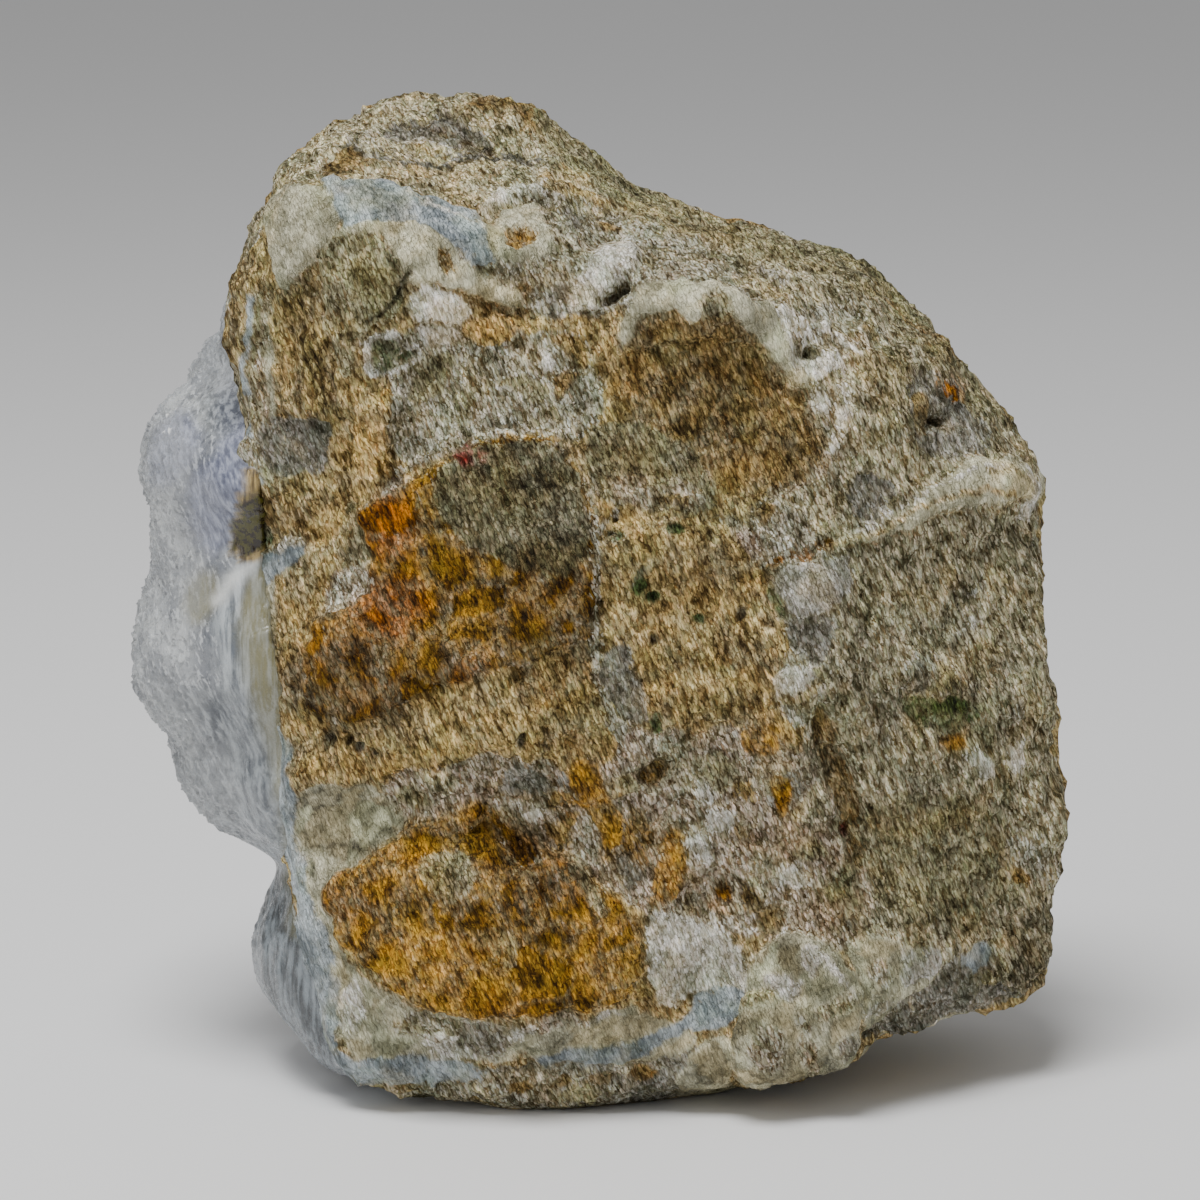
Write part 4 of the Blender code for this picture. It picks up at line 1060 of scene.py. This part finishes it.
# Fibres run down the lining beside the rock; broad clouds lie in the clear parts.
where = add(tree, "ShaderNodeTexCoord").outputs["Object"]
sized = vectors(tree, "MULTIPLY", {0: where, 1: (1300.0, 600.0, 150.0)})
fibre = soft_noise(tree, leant(tree, sized, 0.12), 1.0, 3.0, 0.65)
sharp_fibre = step(tree, fibre, 0.36, 0.64)
body = two_tones(tree, value_of(tree, "cloud"), "4c5058", "b8bbba")
for share, hue in (
        (times(tree, step(tree, value_of(tree, "patch"), 0.45, 0.5), 0.5), shade("80848b")),
        (times(tree, step(tree, value_of(tree, "patch"), 0.2, 0.16), 0.5), shade("c6c9ca")),
        (times(tree, step(tree, strand, 0.55, 0.6), 0.6), shade("d6d9da")),
        (times(tree, step(tree, speckle, 0.52, 0.62), 0.6), shade("44484f")),
        (times(tree, value_of(tree, "violet"), 0.8),
         two_tones(tree, step(tree, strand, 0.35, 0.65), "50546a", "8d92a6")),
        (times(tree, value_of(tree, "vein"), 0.9), two_tones(tree, sharp_fibre, "596068", "b4babc")),
        (times(tree, value_of(tree, "dull"), 0.65),
         two_tones(tree, step(tree, strand, 0.38, 0.62), "3f444a", "8b9093")),
        (times(tree, value_of(tree, "dusk"), 0.95), two_tones(tree, sharp_fibre, "34383a", "7b8388")),
        (times(tree, value_of(tree, "olive"), step(tree, fibre, 0.3, 0.65, 1.0, 0.6)), shade("77724f")),
        (value_of(tree, "glow"), shade("dfe0dc")),
        # painted highlight: the glints, pure white in the colour
        (step(tree, value_of(tree, "painted_glint"), 0.2, 0.7), shade("ffffff"))):
    body = blend(tree, share, body, hue)
# Fine bands and slow ones lie round the hollow, one inside the other.
layer = weigh(tree, strand, 1.2, value_of(tree, "hollow_gap"))
wave = calc(tree, "SINE", times(tree, layer, 5.2))
slow = calc(tree, "SINE", times(tree, layer, 1.35))
banded = two_tones(tree, weigh(tree, wave, 0.3, weigh(tree, slow, 0.3, 0.5)), "4f6488", "c5ccd8")
colour = blend(tree, step(tree, value_of(tree, "hollow_gap"), 15.0, 9.0), body, banded)
for share, hue in (
        (times(tree, value_of(tree, "druse"), 0.4), shade("b9bbbb")),
        (value_of(tree, "crumb"), two_tones(tree, sharp_fibre, "4a3c22", "b59c66")),
        # painted shade in the hollow beside the rock, over the rock's own brown and green
        (value_of(tree, "pit_shade"), two_tones(tree, step(tree, speckle, 0.42, 0.58), "201402", "474310"))):
    colour = blend(tree, share, colour, hue)
height = weigh(tree, fibre, 0.6, times(tree, strand, 0.5))
finish_surface(tree, shader, colour, step(tree, speckle, 0.3, 0.7, 0.15, 0.45), height, 0.5, 0.4)
set_inputs(shader, {
    "Subsurface Weight": 0.2,
    "Subsurface Radius": (0.9, 1.0, 1.2),
    "Subsurface Scale": 1.5 * MM,
    "Specular IOR Level": 0.6,
})
lining.data.materials.append(agate)
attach(lining, "root")
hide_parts("agate_lining")


# Druzy crust
# The real piece is the skin of quartz crystals that grew last, into the hollow of the geode. The crystals are
# clear to milky, six-sided and pointed, and grown together at their feet.

CRUST_GRAIN = 0.5
CRUST_SMOOTHING = 2
CRYSTAL_COUNT = 1500
CRYSTAL_WIDTH = (0.5, 1.15)
CRYSTAL_REACH = (1.6, 3.9)
CRYSTAL_LEAN = 0.38
ROOT_DEPTH = 1.2
TIP_LENGTH = 1.1
SHOULDER_WIDTH = 0.92
SIDES = 6
HOLLOW_MIDDLE = Vector((-16.0, 27.8, 48.5))

crust = copy_of("druzy_crust", "druzy_crust_crystals")
crust_mesh = crust.data
hollow_faces = [
    f for f in crust_mesh.polygons if (HOLLOW_MIDDLE - f.center / MM).dot(f.normal) > 0.0
]
pick = random.Random(21)
weights = [f.area for f in hollow_faces]
corner_rows, face_rows = [], []
for face in pick.choices(hollow_faces, weights=weights, k=CRYSTAL_COUNT):
    a, b, c = (crust_mesh.vertices[i].co / MM for i in face.vertices)
    s, t = sorted((pick.random(), pick.random()))
    root = a * s + b * (t - s) + c * (1.0 - t)
    inward = (HOLLOW_MIDDLE - root).normalized()
    root = root - inward * ROOT_DEPTH
    lean = Vector([pick.uniform(-CRYSTAL_LEAN, CRYSTAL_LEAN) for _ in range(3)])
    axis = (inward + lean).normalized()
    side = axis.orthogonal().normalized()
    other = axis.cross(side)
    width = pick.uniform(*CRYSTAL_WIDTH)
    reach = pick.uniform(*CRYSTAL_REACH)
    first = len(corner_rows)
    for along, size in ((0.0, 1.0), (reach - width * TIP_LENGTH, SHOULDER_WIDTH)):
        for k in range(SIDES):
            turn = math.radians(360.0 / SIDES * k)
            outward = side * math.cos(turn) + other * math.sin(turn)
            corner_rows.append(root + axis * along + outward * size * width)
    corner_rows.append(root + axis * reach)
    for k in range(SIDES):
        n = (k + 1) % SIDES
        face_rows.append((first + k, first + n, first + SIDES + n, first + SIDES + k))
        face_rows.append((first + SIDES + k, first + SIDES + n, first + 2 * SIDES))
    face_rows.append(tuple(first + k for k in reversed(range(SIDES))))
points_mesh = bpy.data.meshes.new("crystal_points")
points_mesh.from_pydata([p * MM for p in corner_rows], [], face_rows)
points_piece = bpy.data.objects.new("crystal_points", points_mesh)
bpy.context.scene.collection.objects.link(points_piece)
even_out(crust, CRUST_GRAIN, CRUST_SMOOTHING)
work_on(crust)
points_piece.select_set(True)
bpy.ops.object.join()
crust.data.shade_flat()

quartz, tree, shader, grain = new_stone("druzy_quartz")
milk = two_tones(tree, step(tree, grain["Strand"], 0.35, 0.65), "b9bcc6", "e4e4e6")
tree.links.new(milk, shader.inputs["Base Color"])
set_inputs(shader, {"Roughness": 0.12, "IOR": 1.54, "Transmission Weight": 0.35})
crust.data.materials.append(quartz)
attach(crust, "root")
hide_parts("druzy_crust")


# Floor, light and camera
# A plain pale floor, soft light from all round with a large lamp above and in front, and the camera half a
# metre in front of the rough face, looking ten degrees down.

FLOOR_SIZE = 6.0
LENS = 150.0
FILM_WIDTH = 36.0

bpy.ops.object.select_all(action="DESELECT")
bpy.ops.mesh.primitive_plane_add(size=FLOOR_SIZE, location=(0.0, 0.0, 0.0))
floor = bpy.context.object
floor.name = "floor"
floor_finish = bpy.data.materials.new("pale_floor")
floor_finish.use_nodes = True
set_inputs(floor_finish.node_tree.nodes["Principled BSDF"],
           {"Base Color": (0.82, 0.82, 0.82, 1.0), "Roughness": 0.9})
floor.data.materials.append(floor_finish)

world = bpy.data.worlds.new("soft_room")
world.use_nodes = True
set_inputs(world.node_tree.nodes["Background"], {"Color": (1.0, 1.0, 1.0, 1.0), "Strength": 0.38})
bpy.context.scene.world = world


def soft_lamp(name, place, target, size, power):
    """A square lamp of this size, turned towards the target."""
    bpy.ops.object.light_add(type="AREA", location=place)
    lamp = bpy.context.object
    lamp.name = name
    lamp.data.size = size
    lamp.data.energy = power
    lamp.rotation_euler = (Vector(target) - Vector(place)).to_track_quat("-Z", "Y").to_euler()


soft_lamp("lamp_above", (-0.12, -0.28, 0.8), (0.0, 0.0, 0.05), 0.35, 7.5)
soft_lamp("lamp_left", (-0.6, -0.5, 0.3), (0.0, 0.0, 0.05), 0.5, 1.2)

bpy.ops.object.camera_add(location=EYE * MM, rotation=(math.radians(90.0) - EYE_TILT, 0.0, 0.0))
camera = bpy.context.object
camera.data.lens = LENS
camera.data.sensor_width = FILM_WIDTH
bpy.context.scene.camera = camera
